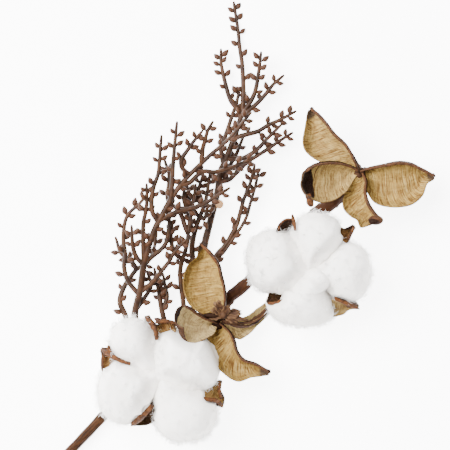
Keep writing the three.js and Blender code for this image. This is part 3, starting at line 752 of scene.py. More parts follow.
@dataclass(frozen=True)
class Stem:
    """The brown stem with its taped middle."""

    stations: tuple[tuple[float, float, float, float], ...]
    taped_from: float = 0.43
    sides: int = 40
    spacing: float = 0.8

    # How high the bark's ridges are, how far apart the tape's laps and how high its folds, in mm.
    RIDGE = 0.22
    LAP = 5.5
    FOLD = 0.32

    def build(self) -> bpy.types.Object:
        """Lofts the stem along its stations, with ridged bark and wrinkled tape.

        Returns:
            The new piece.
        """
        stations = np.array(self.stations)
        route = Route(stations[:, :3])

        def radius(share: np.ndarray) -> np.ndarray:
            """Returns the radius between the stations."""
            places = np.linspace(0, 1, len(stations))
            return np.interp(route.paced(share), places, stations[:, 3])

        points, share = rings_along(route, radius, self.sides, self.spacing)
        centre = route.along(share)[:, None]
        outward = unit(points - centre)
        run = (share * route.length)[:, None]
        turn = np.linspace(0, 1, self.sides, endpoint=False)[None]
        taped = np.clip((share - self.taped_from) / 0.03, 0, 1)[:, None] + 0 * turn
        round_about = 2.2 * np.exp(2j * math.pi * turn) + 0 * run
        lengthwise = np.stack([run / 9 + 0 * turn, round_about.real, round_about.imag], -1)
        ridges = cloud(lengthwise, 1.0) * self.RIDGE
        lap = np.abs(((run / self.LAP + turn + 0.25 * np.sin(run / 7)) % 1.0) - 0.15)
        wrinkles = self.FOLD * bell(lap, 0.10)
        wrinkles = wrinkles + 0.35 * cloud(points, 3.2) + 0.15 * cloud(points, 1.2)
        swell = ridges * (1 - taped) + wrinkles * taped + (0.15 + 0.35 * taped) * cloud(points, 7)
        points = points + outward * swell[..., None]
        points[..., 2] = np.maximum(points[..., 2], TABLE_GAP)
        skin = Skin()
        skin.tube(points, taped=taped)
        return skin.piece("stem")


@dataclass(frozen=True)
class Shoot:
    """A side shoot of a twig: where it leaves the twig's line, its rise and its way."""

    start: float
    lift: float
    bare: float
    via: tuple[PlanPoint, ...]


@dataclass(frozen=True)
class Scar:
    """The pale round stub of a trimmed shoot."""

    at: Point
    radius: float


@dataclass(frozen=True)
class Branch:
    """One line of a twig with its thickness, and where its buds begin."""

    route: Route
    radius: float
    bare: float
    number: int

    # How much fuller a branch is than in the CAD model, as a factor and in millimetres.
    FULLNESS = 1.18
    BARK = 0.44
    # In millimetres: the stretch with paired buds, where the last pair stands before the end, the
    # room that it takes, how far apart a pair is, and the bare tip.
    PAIRED_END = 16.0
    LAST_PAIR = 2.4
    ROOM_FOR_PAIR = 6.8
    PAIR_GAP = 1.4
    SPIKE_LENGTH = 2.6
    SPIKE_RADIUS = 0.86

    def thickness(self, share: np.ndarray) -> np.ndarray:
        """Returns the radius in millimetres at shares of the length."""
        tapered = self.radius + (TWIG_TIP_RADIUS - self.radius) * share**1.8
        return tapered * self.FULLNESS + self.BARK

    def spike(self, skin: Skin) -> None:
        """Adds the bare tip beyond the last buds.

        Args:
            skin: The twig's skin.
        """
        end, way = self.route.at(1.0)[0], self.route.heading(1.0)[0]
        line = Route([end - way * 0.6, end + way * 1.0, end + way * self.SPIKE_LENGTH])
        points, _ = rings_along(line, lambda share: self.SPIKE_RADIUS - 0.36 * share**3, 8, 0.6)
        skin.tube(points, tip=0.0, scar=0.0)

    def buds(self) -> tuple[np.ndarray, np.ndarray]:
        """Places the buds, left and right by turns, and in pairs near the tip.

        Returns:
            The buds' feet in millimetres, and the way that each one points.
        """
        length = self.route.length
        runs = np.arange(length * self.bare, length - BUD_END_GAP, BUD_STEP)
        order = np.arange(len(runs))
        near = runs > length - self.PAIRED_END
        count, last = len(runs), runs.max(initial=0)
        apart = self.PAIR_GAP - self.number % 3 * 0.45
        runs = np.append(runs, runs[near] + apart)
        order = np.append(order, order[near] + 1)
        if last < length - self.ROOM_FOR_PAIR:
            end = length - self.LAST_PAIR
            runs, order = np.append(runs, [end - apart, end]), np.append(order, [count + 1, count])
        share = runs / length
        heading = self.route.heading(self.route.paced(share))
        side = unit(np.cross(heading, UP))
        over = np.cross(side, heading)
        lean = np.radians(BUD_LEAN) * np.sin(2.4 * order + 1.7 * self.number)
        turn = np.where((order + self.number) % 2 == 1, 1.0, -1.0)
        outward = side * (turn * np.cos(lean))[:, None] + over * np.sin(lean)[:, None]
        slant = math.radians(BUD_ANGLE)
        ways = heading * math.cos(slant) + outward * math.sin(slant)
        feet = self.route.along(share) + ways * (self.thickness(share) * 0.7)[:, None]
        return feet, ways


class GeometryTree(Nodes):
    """A Geometry Nodes tree with named inputs, run once on one object."""

    def __init__(self, name: str, **inputs: str) -> None:
        """Starts a tree that takes a geometry and more, and gives a geometry.

        Args:
            name: The tree's name.
            **inputs: The kind of each further input, under its name.
        """
        super().__init__(bpy.data.node_groups.new(name, "GeometryNodeTree"))
        self._socket("Geometry", "Geometry", "OUTPUT")
        for title, kind in {"Geometry": "Geometry", **inputs}.items():
            self._socket(title, kind, "INPUT")
        self.entry = self.tree.nodes.new("NodeGroupInput")
        self.exit = self.tree.nodes.new("NodeGroupOutput")

    def _socket(self, name: str, kind: str, side: str) -> None:
        """Adds an input or output of the tree."""
        self.tree.interface.new_socket(name, in_out=side, socket_type=f"NodeSocket{kind}")

    def given(self, name: str) -> Signal:
        """Returns the named input."""
        return Signal(self, self.entry.outputs[name])

    def carried(self, name: str, kind: str = "FLOAT") -> Signal:
        """Returns what the geometry carries at each point under a name."""
        return self.node("GeometryNodeInputNamedAttribute", {"Name": name}, data_type=kind)

    def facing(self, way: Signal) -> Signal:
        """Returns the turn that points +Z a given way."""
        return self.node("FunctionNodeAlignRotationToVector", {"Vector": way}, axis="Z")

    def chance(self, low: Signal | float, high: Signal | float) -> Signal:
        """Returns a random number between two others."""
        sockets = {2: low, 3: high, "Seed": self.given("Seed")}
        return self.node("FunctionNodeRandomValue", sockets, 1, data_type="FLOAT")

    def joined(self, *parts: Signal) -> Signal:
        """Returns several geometries as one, in their order."""
        return self.node("GeometryNodeJoinGeometry", {"Geometry": list(parts)})

    def realized(self, points: Signal, thing: Signal, turn: Signal, size: Signal) -> Signal:
        """Sets a copy of a thing on each point.

        Args:
            points: The points.
            thing: What is repeated.
            turn: Each copy's turn.
            size: Each copy's scale.

        Returns:
            The copies as one mesh.
        """
        sockets = {"Points": points, "Instance": thing, "Rotation": turn, "Scale": size}
        copies = self.node("GeometryNodeInstanceOnPoints", sockets)
        return self.node("GeometryNodeRealizeInstances", {"Geometry": copies})

    def run(
        self, carrier: bpy.types.Object, result: Signal, **values: object
    ) -> bpy.types.Mesh:
        """Ends the tree, runs it on an object and takes the object away.

        Args:
            carrier: The object that the tree starts from.
            result: The geometry that the tree gives, before its material.
            **values: A value for each named input.

        Returns:
            What the tree makes, as a plain mesh.
        """
        sockets = {"Geometry": result, "Material": self.given("Finish")}
        self.feed(self.exit.inputs[0], self.node("GeometryNodeSetMaterial", sockets))
        modifier = carrier.modifiers.new(self.tree.name, "NODES")
        modifier.node_group = self.tree
        for item in self.tree.interface.items_tree:
            if item.in_out == "INPUT" and item.name in values:
                modifier[item.identifier] = values[item.name]
        return baked(carrier)


@dataclass(frozen=True)
class BudTree:
    """Sets buds on points."""

    seed: int = 7
    spread: float = 0.16

    def grow(
        self, feet: np.ndarray, ways: np.ndarray, bud: bpy.types.Object, finish: bpy.types.Material
    ) -> bpy.types.Mesh:
        """Makes the mesh of all the buds.

        Args:
            feet: Where the buds stand, in millimetres.
            ways: Which way each points.
            bud: The object that is repeated.
            finish: The buds' material.

        Returns:
            A plain mesh of every bud.
        """
        mesh = bpy.data.meshes.new("bud feet")
        mesh.from_pydata(metres(feet).tolist(), [], [])
        way = mesh.attributes.new("way", "FLOAT_VECTOR", "POINT")
        way.data.foreach_set("vector", ways.astype(float).ravel())
        kinds = {"Bud": "Object", "Finish": "Material", "Spread": "Float", "Seed": "Int"}
        tree = GeometryTree("buds on twigs", **kinds)
        spread = tree.given("Spread")
        source = {"Object": tree.given("Bud")}
        buds = tree.realized(
            tree.given("Geometry"),
            tree.node("GeometryNodeObjectInfo", source, "Geometry"),
            tree.facing(tree.carried("way", "FLOAT_VECTOR")),
            tree.chance(1.0 - spread, 1.0 + spread),
        )
        return tree.run(
            placed("bud feet", mesh), buds,
            Bud=bud, Finish=finish, Spread=self.spread, Seed=self.seed,
        )


def baked(carrier: bpy.types.Object) -> bpy.types.Mesh:
    """Turns an object with its modifiers into a plain mesh and takes the object away.

    Args:
        carrier: The object.

    Returns:
        The mesh that its modifiers make.
    """
    graph = bpy.context.evaluated_depsgraph_get()
    mesh = bpy.data.meshes.new_from_object(carrier.evaluated_get(graph), depsgraph=graph)
    old = carrier.data
    bpy.data.objects.remove(carrier)
    if old.users == 0:
        bpy.data.meshes.remove(old)
    return mesh


def join(mesh: bpy.types.Mesh, extra: bpy.types.Mesh) -> None:
    """Adds one mesh to another.

    Args:
        mesh: The mesh that grows.
        extra: The mesh to add, which is removed.
    """
    both = bmesh.new()
    both.from_mesh(mesh)
    both.from_mesh(extra)
    both.to_mesh(mesh)
    both.free()
    bpy.data.meshes.remove(extra)


def lifted(mesh: bpy.types.Mesh) -> None:
    """Moves what hangs below the table up to it."""
    for vertex in mesh.vertices:
        vertex.co.z = max(vertex.co.z, TABLE_GAP * MM)


@dataclass(frozen=True)
class Bud:
    """One bud: a short stalk and a pointed oval body."""

    belly: float = 1.42
    length: float = BUD_LENGTH + 1.55
    sides: int = 7

    def build(self) -> bpy.types.Object:
        """Turns the bud's outline about +Z, at the origin.

        Returns:
            The object that is repeated.
        """
        rise = np.array([-0.1, 0.16, 0.26, 0.42, 0.62, 0.82, 0.93, 1.0]) * self.length
        wide = np.array([0.28, 0.26, 0.66, 0.98, 0.94, 0.60, 0.32, 0.08]) * self.belly
        turn = 2 * math.pi * np.arange(self.sides) / self.sides
        rings = np.stack([
            wide[:, None] * np.cos(turn), wide[:, None] * np.sin(turn), rise[:, None] + 0 * turn,
        ], -1)
        skin = Skin()
        skin.tube(rings + OUTLINE_MIDDLE, tip=(rise / self.length)[:, None])
        return skin.piece("bud")


@dataclass(frozen=True)
class Twig:
    """A budded twig with its side shoots."""

    name: str
    radius: float
    bare: float
    line: tuple[Point, ...]
    shoots: tuple[Shoot, ...]
    scar: Scar | None = None
    sides: int = 9
    spacing: float = 1.6

    def branches(self) -> list[Branch]:
        """Lays out the twig's own line and its shoots.

        Returns:
            The lines, the twig's own first.
        """
        main = Route(self.line)
        found = [Branch(main, self.radius, self.bare, 0)]
        for shoot in self.shoots:
            start = main.at(shoot.start / (len(self.line) - 1))[0]
            rise = shoot.lift * (np.arange(len(shoot.via)) + 1) / len(shoot.via)
            rest = np.column_stack([np.array(shoot.via), start[2] + rise])
            route = Route(np.vstack([start, rest]))
            found.append(Branch(route, SHOOT_RADIUS, shoot.bare, len(found)))
        return found

    def build(self, bud: bpy.types.Object, finish: bpy.types.Material) -> bpy.types.Object:
        """Draws the twig's lines and grows its buds.

        Args:
            bud: The object that is repeated as a bud.
            finish: The twig's material.

        Returns:
            The new piece.
        """
        skin = Skin()
        feet, ways = [], []
        for branch in self.branches():
            points, share = rings_along(branch.route, branch.thickness, self.sides, self.spacing)
            centre = branch.route.along(share)[:, None]
            swell = 1.0 + 0.06 * cloud(points, 4)
            points = centre + (points - centre) * swell[..., None]
            points[..., 2] = np.maximum(points[..., 2], TABLE_GAP)
            skin.tube(points, tip=0.0, scar=0.0)
            spots, directions = branch.buds()
            branch.spike(skin)
            feet.append(spots)
            ways.append(directions)
        if self.scar:
            middle = np.array(self.scar.at) - UP * 0.9
            size = (self.scar.radius, self.scar.radius, 1.0)
            skin.tube(ball(middle, size, 10, 18), tip=0.0, scar=1.0)
        piece = skin.piece(self.name)
        join(piece.data, BudTree().grow(np.vstack(feet), np.vstack(ways), bud, finish))
        lifted(piece.data)
        return piece


# What a burr's finish reads at each point, and its usual value, that of a bare outside.
BARE_OUTSIDE = {
    "along": 0.2, "across": 0.5, "inside": 0.0, "edge": 0.0, "dark": 0.0, "phase": 0.0,
    "hollow": 0.0, "ridge": 0.0, "woody": 0.0, "bleach": 0.0, "calm": 0.0,
}


def wrinkled(points: np.ndarray, amount: float) -> np.ndarray:
    """Makes rings of points thicker and thinner by noise, about each ring's middle."""
    centre = points.mean(axis=1, keepdims=True)
    return centre + (points - centre) * (1 + amount * cloud(points, 2))[..., None]


@dataclass(frozen=True)
class Boat:
    """A valve with two troughs that share a thin fin."""

    tip: Point
    width: float
    fin: float
    bow: float
    # How much of the shade colour the valve takes: dark brown, and painted shade.
    dark: float = 0.0
    woody: float = 1.0

    # How many rows the valve has, and how many points a trough's lining has in each.
    ROWS = 34
    STEPS = 12

    def add(self, skin: Skin, heart: np.ndarray) -> None:
        """Draws the valve.

        Args:
            skin: The burr's skin.
            heart: Where the valve grows from, in millimetres.
        """
        along = np.array(self.tip) - heart
        length = float(np.linalg.norm(along))
        along = along / length
        normal = unit(UP - along * along[2])
        right = np.cross(along, normal)
        share = np.linspace(0, 1, self.ROWS)
        swell = 0.06 + 0.94 * np.sin(np.pi * (0.09 + 0.91 * share)) ** (0.75 + 0.8 * share**2)
        lift = np.maximum(0, (share - 0.7) / 0.3) ** 2
        lift = lift - self.bow * np.sin(np.pi * share) - 1.2 * (1 - share)
        angle, offset, across, inside, edge = self._section()
        w, f = (self.width * swell)[:, None], (self.fin * swell)[:, None]
        x = BURR_WALL / 2 + w / 2 * (1 + np.cos(angle)) + offset * np.cos(angle)
        x = np.maximum(x, 0.15)
        z = f * (1 + np.sin(angle)) + offset * np.sin(angle)
        x = np.hstack([x, np.zeros((self.ROWS, 1)), -x[:, ::-1]])
        z = np.hstack([z, self.fin * swell[:, None] * 0.2, z[:, ::-1]])
        keel = heart + along * (length * share)[:, None] + normal * lift[:, None]
        points = keel[:, None] + right * x[..., None] + normal * z[..., None]
        rough = cloud(points, 4.5) * 0.35 + cloud(points, 1.6) * 0.15
        points = points + normal * rough[..., None]

        def mirrored(values: np.ndarray) -> np.ndarray:
            """Sets values over one trough, the keel and the other trough."""
            return np.tile(np.concatenate([values, [0.0], values[::-1]]), (self.ROWS, 1))

        skin.tube(points, **BARE_OUTSIDE | {
            "along": share[:, None] * 0.85, "across": mirrored(across), "inside": mirrored(inside),
            "edge": mirrored(edge), "dark": self.dark, "phase": self.tip[0], "woody": self.woody,
        })

    def _section(self) -> tuple[np.ndarray, ...]:
        """Lays out one trough, across its lining and back over its outside.

        Returns:
            For each point its angle, how far outside it lies, and its across, inside and edge.
        """
        inner = np.radians(np.linspace(180, 325, self.STEPS))
        outer = np.radians(np.linspace(325, 235, self.STEPS - 2))
        offset = np.concatenate([0 * inner, 0 * outer + BURR_WALL])
        across = np.concatenate([np.linspace(0, 1, len(inner)), np.linspace(1, 0.4, len(outer))])
        inside = np.concatenate([0 * inner + 1, 0 * outer])
        edge = 0 * inside
        edge[0] = 0.7
        edge[len(inner) - 1:len(inner) + 1] = 1.0
        return np.concatenate([inner, outer]), offset, across, inside, edge


@dataclass(frozen=True)
class Shell:
    """A valve that is one wide trough, hung between its dark rim and its margin."""

    sag: float
    back: float
    rim: tuple[Point, ...]
    margin: tuple[Point, ...]
    hood: float = 0.4
    # How much of the shade colour the valve takes: dark brown, and painted shade.
    dark: float = 0.0
    # The oval hole at a curled end, filled with painted shade: its place along and across, and its
    # half sizes.
    hole: tuple[float, float, float, float] | None = None
    woody: float = 0.0
    # How far the valve is made paler: partly its own colour, partly painted light.
    bleach: float = 0.0
    calm: float = 0.0
    lip: float = 0.0

    # How many rows the trough has, and how many points in each.
    ROWS = 56
    STEPS = 26

    def add(self, skin: Skin) -> None:
        """Draws the valve.

        Args:
            skin: The burr's skin.
        """
        rim, margin = Route(self.rim), Route(self.margin)
        share = np.linspace(0, 1, self.ROWS)
        start, end = rim.at(share), margin.at(share)
        inward = self._inward(rim, margin)
        inner = self._trough(start, end, inward, 0.0)
        outer = self._trough(start, end, inward, BURR_WALL)
        fall = (self.back * (0.2 + 0.8 * np.sin(np.pi * share)))[:, None]
        for j, portion in enumerate((1.0, 0.55, 0.25)):
            outer[:, j] += (unit(end - start) * (-0.12 * fall) - UP * fall) * portion
        u, v = np.meshgrid(share, np.linspace(0, 1, self.STEPS), indexing="ij")
        hollow = self._hollow(u, v)
        rough = (self._roughness(inner, u, v) - 0.8 * hollow)[..., None]
        inner = inner + inward[:, None] * rough
        outer = outer + inward[:, None] * rough
        edge = np.exp(-v / 0.022) + 0.45 * np.exp(-(1 - v) / 0.014)

        def paired(values: np.ndarray) -> np.ndarray:
            """Sets values over the trough and back again over its outside."""
            return np.hstack([values, values[:, ::-1]])

        first = skin.count
        skin.grid(np.hstack([inner, outer[:, ::-1]]), True, **BARE_OUTSIDE | {
            "along": paired(u), "across": paired(v), "hollow": paired(hollow),
            "edge": paired(edge), "inside": np.hstack([0 * u + 1, 0 * u]),
            "dark": self.dark, "phase": self.rim[3][0], "woody": self.woody,
            "bleach": self.bleach, "calm": self.calm,
        })
        self._close_ends(skin, first)
        if self.lip:
            self._add_lip(skin, rim)

    def _inward(self, rim: Route, margin: Route) -> np.ndarray:
        """Finds which way the trough opens.

        Args:
            rim: The valve's rim.
            margin: Its other long edge.

        Returns:
            A direction of length one for each row.
        """
        share = np.linspace(0, 1, self.ROWS)
        heading = unit(rim.heading(share) + margin.heading(share))
        middle = rim.heading(0.5)[0] + margin.heading(0.5)[0]
        across = margin.at(0.5)[0] - rim.at(0.5)[0]
        sign = math.copysign(1.0, float(np.cross(middle, across)[2]))
        return unit(np.cross(heading, unit(margin.at(share) - rim.at(share)))) * sign

    def _trough(
        self, start: np.ndarray, end: np.ndarray, inward: np.ndarray, offset: float
    ) -> np.ndarray:
        """Sets the points of the trough, or of its back.

        Args:
            start: Places on the rim.
            end: Places on the margin.
            inward: Which way the trough opens at each of them.
            offset: How far outside the trough the points lie, in millimetres.

        Returns:
            Rows of points.
        """
        share = np.linspace(0, 1, self.ROWS)
        width = np.linalg.norm(end - start, axis=1)[:, None]
        side = unit(end - start)
        bowl = np.maximum(np.sin(np.pi * (0.1 + 0.85 * share)) ** 0.6, self.hood * share)
        depth = (self.sag * bowl)[:, None]
        angle = np.linspace(0, np.pi, self.STEPS)[None]
        away = np.stack([-np.cos(angle) * depth, -np.sin(angle) * width / 2], -1)
        away = unit(away) * offset
        x = width * (1 - np.cos(angle)) / 2 + away[..., 0]
        y = away[..., 1] - depth * np.sin(angle)
        return start[:, None] + side[:, None] * x[..., None] + inward[:, None] * y[..., None]

    def _roughness(self, points: np.ndarray, u: np.ndarray, v: np.ndarray) -> np.ndarray:
        """Finds how far the lining stands out: its swells, its ripples and one long fold.

        Args:
            points: The trough's points.
            u: How far along the valve each one lies, from 0 to 1.
            v: How far from the rim, from 0 to 1.

        Returns:
            Each point's height in millimetres.
        """
        ripple = 0.16 * np.sin(u * 95 + 5 * cloud(points, 7)) * np.exp(-v * 2.2)
        fold = 0.9 * bell(v - 0.46 - 0.1 * np.sin(u * 5), 0.07) * np.sin(np.pi * u)
        return cloud(points, 6) * 0.8 + cloud(points, 2.3) * 0.28 + ripple + fold

    def _hollow(self, u: np.ndarray, v: np.ndarray) -> np.ndarray:
        """Marks the open hole of a valve whose end is one, which the finish fills with painted
        shade.

        Args:
            u: How far along the valve each point lies, from 0 to 1.
            v: How far from the rim, from 0 to 1.

        Returns:
            A number from 0 outside the hole to 1 within it, for each point.
        """
        if not self.hole:
            return np.zeros_like(u)
        u0, v0, ru, rv = self.hole
        return np.clip(1.5 - np.hypot((u - u0) / ru, (v - v0) / rv), 0, 1)

    def _close_ends(self, skin: Skin, first: int) -> None:
        """Joins the trough to its back at both ends.

        Args:
            skin: The burr's skin.
            first: The number of the valve's first point.
        """
        columns = 2 * self.STEPS
        for row in (0, self.ROWS - 1):
            base = first + row * columns
            for j in range(self.STEPS - 1):
                far = base + columns - 2 - j
                skin.faces.append((base + j, base + j + 1, far, far + 1))

    def _add_lip(self, skin: Skin, line: Route) -> None:
        """Draws the thick raised lip along the rim, which runs out into the valve's beak.

        Args:
            skin: The burr's skin.
            line: The valve's rim.
        """
        def radius(share: np.ndarray) -> np.ndarray:
            """Returns the lip's radius, which swells a little at the beak."""
            places, sizes = (0, 0.1, 0.5, 0.86, 0.94, 1), (0.8, 0.9, 1, 0.95, 1.15, 0.45)
            return self.lip * np.interp(share, places, sizes)

        points = wrinkled(rings_along(line, radius, 10, 0.8)[0], 0.2)
        skin.tube(points, **BARE_OUTSIDE | {"ridge": 0.4})


@dataclass(frozen=True)
class Ridge:
    """The bare woody fin of a valve, from its pointed tip back over the cotton."""

    line: tuple[Point, ...]
    thick: float = 0.85

    def add(self, skin: Skin) -> None:
        """Draws the fin as a tapered, wrinkled line.

        Args:
            skin: The burr's skin.
        """
        def radius(share: np.ndarray) -> np.ndarray:
            """Returns the fin's radius, least at its point."""
            return self.thick * np.interp(share, (0, 0.12, 0.45, 1), (0.28, 0.75, 1.0, 0.7))

        points = wrinkled(rings_along(Route(self.line), radius, 14, 0.7)[0], 0.25)
        skin.tube(points, **BARE_OUTSIDE | {"ridge": 1.0})


@dataclass(frozen=True)
class Knob:
    """A lump on a burr: a curled end of a valve, or a dark ball that paints shade into a hollow or
    gap.
    """

    at: Point
    size: Point
    shade: float = 0.0

    def add(self, skin: Skin) -> None:
        """Draws the knob on the burr's skin."""
        paint = {"dark": self.shade, "ridge": 0.3 * (1.0 - self.shade)}
        skin.tube(ball(self.at, self.size, 12, 18), **BARE_OUTSIDE | paint)


@dataclass(frozen=True)
class Burr:
    """The dry woody burr of a boll: its valves, their heart and the stalk below."""

    name: str
    heart: Point
    heart_radius: float
    seat: Point
    stalk_radius: float
    shells: tuple[Shell, ...]
    boats: tuple[Boat, ...] = ()
    trims: tuple[Ridge | Knob, ...] = ()

    def build(self) -> bpy.types.Object:
        """Draws the valves round the heart.

        Returns:
            The new piece.
        """
        heart, seat = np.array(self.heart), np.array(self.seat)
        skin = Skin()
        # A dark ball at the heart: painted shade in the hollow where the valves meet.
        Knob(heart - UP * 2.4, (self.heart_radius * 0.95,) * 3, shade=0.8).add(skin)
        stalk = Route([seat, (seat + heart) / 2 - UP * 0.6, heart])
        steady = unit(np.array([0, 1, 0.2]))
        points, _ = rings_along(stalk, lambda share: 0 * share + self.stalk_radius, 18, 1.5, steady)
        skin.tube(points, **BARE_OUTSIDE)
        for boat in self.boats:
            boat.add(skin, heart)
        for part in (*self.shells, *self.trims):
            part.add(skin)
        return skin.piece(self.name)


@dataclass(frozen=True)
class Flake:
    """One torn blade of the calyx."""

    bearing: float
    length: float
    width: float
    rise: float


@dataclass(frozen=True)
class Calyx:
    """The torn brown membranes in the heart of the inner empty burr."""

    heart: Point
    knob: float
    flakes: tuple[Flake, ...]

    # How many rows a blade has, how many points in each, and how thick it is.
    ROWS = 18
    STEPS = 9
    THICKNESS = 0.45

    def build(self) -> bpy.types.Object:
        """Draws the knob and its flakes.

        Returns:
            The new piece.
        """
        skin = Skin()
        skin.tube(ball(self.heart, (self.knob,) * 3, 10, 16), edge=0.0)
        for flake in self.flakes:
            self._blade(skin, flake)
        return skin.piece("husk_1_calyx")

    def _blade(self, skin: Skin, flake: Flake) -> None:
        """Adds one curled blade with a ragged edge.

        Args:
            skin: The calyx's skin.
            flake: The blade.
        """
        turn = math.radians(flake.bearing)
        along = unit(np.array([math.cos(turn), math.sin(turn), flake.rise / flake.length]))
        across = unit(np.cross(UP, along))
        over = np.cross(along, across)
        share = np.linspace(0, 1, self.ROWS)[:, None]
        wide = np.interp(share, [0, 0.3, 0.6, 0.85, 1], [0.45, 0.85, 1.0, 0.95, 0.5])
        ragged = 1 + 0.22 * np.sin(share * 17 + flake.bearing) * share
        place = np.linspace(-1, 1, self.STEPS)[None]
        sideways = place * wide * ragged * flake.width / 2
        curl = 0.8 * np.abs(place) * wide + 0.5 * np.sin(9 * place + flake.bearing) * share
        reach = share * (1 + 0.2 * share * np.sin(9 * place + flake.bearing)) * flake.length
        top = np.array(self.heart) + along * reach[..., None]
        top = top + across * sideways[..., None] + over * curl[..., None]
        low = top - over * self.THICKNESS
        near = np.maximum(np.abs(place) + 0 * share, share**2)
        skin.tube(np.hstack([top, low[:, ::-1]]), edge=np.hstack([near, near[:, ::-1]]))


@dataclass(frozen=True)
class Fuzz:
    """Curled fibres on a lock."""

    density: float = 0.18
    length: float = 5.6
    thickness: float = 0.06
    seed: int = 11

    # Three fibres of a wisp: how often each turns, how wide and high it is, and its turn.
    COILS = ((0.55, 0.34, 0.5, 0.0), (0.9, 0.24, 0.42, 1.1), (0.7, 0.3, 0.3, 2.4))
    # How far a wisp may lean, in radians.
    LEAN = 1.25

    def grow(self, lock: bpy.types.Object, finish: bpy.types.Material) -> bpy.types.Mesh:
        """Makes the mesh of a lock with its fibres.

        Args:
            lock: The lock's smooth skin, which is taken away.
            finish: The fibres' material.

        Returns:
            A plain mesh of the skin and every fibre.
        """
        tree = GeometryTree(
            "fibres on cotton", Density="Float", Length="Float", Thickness="Float",
            Finish="Material", Seed="Int",
        )
        seed = tree.given("Seed")
        spots = tree.node("GeometryNodeDistributePointsOnFaces", {
            "Mesh": tree.given("Geometry"), "Seed": seed,
            "Density": tree.given("Density") * tree.carried("grown"),
        })
        lowest, highest = (-self.LEAN, -self.LEAN, -math.pi), (self.LEAN, self.LEAN, math.pi)
        drawn = {"Min": lowest, "Max": highest, "Seed": seed}
        tilt = tree.node("FunctionNodeRandomValue", drawn, data_type="FLOAT_VECTOR")
        laid = tree.node("FunctionNodeRotateRotation", {
            "Rotation": tree.facing(spots.other("Normal")),
            "Rotate By": tree.node("FunctionNodeEulerToRotation", {"Euler": tilt}),
        }, rotation_space="LOCAL")
        wisp = tree.joined(*(self._fibre(tree, *coil) for coil in self.COILS))
        # Marks the fibres, which the finish paints greyer as painted shade.
        strands = tree.node("GeometryNodeStoreNamedAttribute", {
            "Geometry": tree.realized(spots, wisp, laid, tree.chance(0.3, 1.2)),
            "Name": "strand", "Value": 1.0,
        }, data_type="FLOAT")
        return tree.run(
            lock, tree.joined(strands, tree.given("Geometry")),
            Density=self.density / MM**2, Length=self.length * MM,
            Thickness=self.thickness * MM, Finish=finish, Seed=self.seed,
        )

    def _fibre(
        self, tree: GeometryTree, turns: float, spread: float, rise: float, turn: float
    ) -> Signal:
        """Adds one fibre: part of a coil, as a thin three-sided tube.

        Args:
            tree: The tree.
            turns: How often the coil goes round.
            spread: Its width, as a share of the length.
            rise: Its height, as a share of the length.
            turn: How far the fibre is turned in its wisp, in radians.

        Returns:
            The fibre.
        """
        length = tree.given("Length")
        line = tree.node("GeometryNodeCurveSpiral", {
            "Resolution": 7, "Rotations": turns, "Start Radius": 0.0,
            "End Radius": length * spread, "Height": length * rise,
        })
        circle = {"Resolution": 3, "Radius": tree.given("Thickness")}
        section = tree.node("GeometryNodeCurvePrimitiveCircle", circle, mode="RADIUS")
        sockets = {"Curve": line, "Profile Curve": section, "Fill Caps": True}
        tube = tree.node("GeometryNodeCurveToMesh", sockets)
        placing = {"Geometry": tube, "Rotation": (0.25 * turn, 0.0, turn)}
        return tree.node("GeometryNodeTransform", placing)


@dataclass(frozen=True)
class Tuft:
    """A small knot of cotton on a lock."""

    at: Point
    size: Point


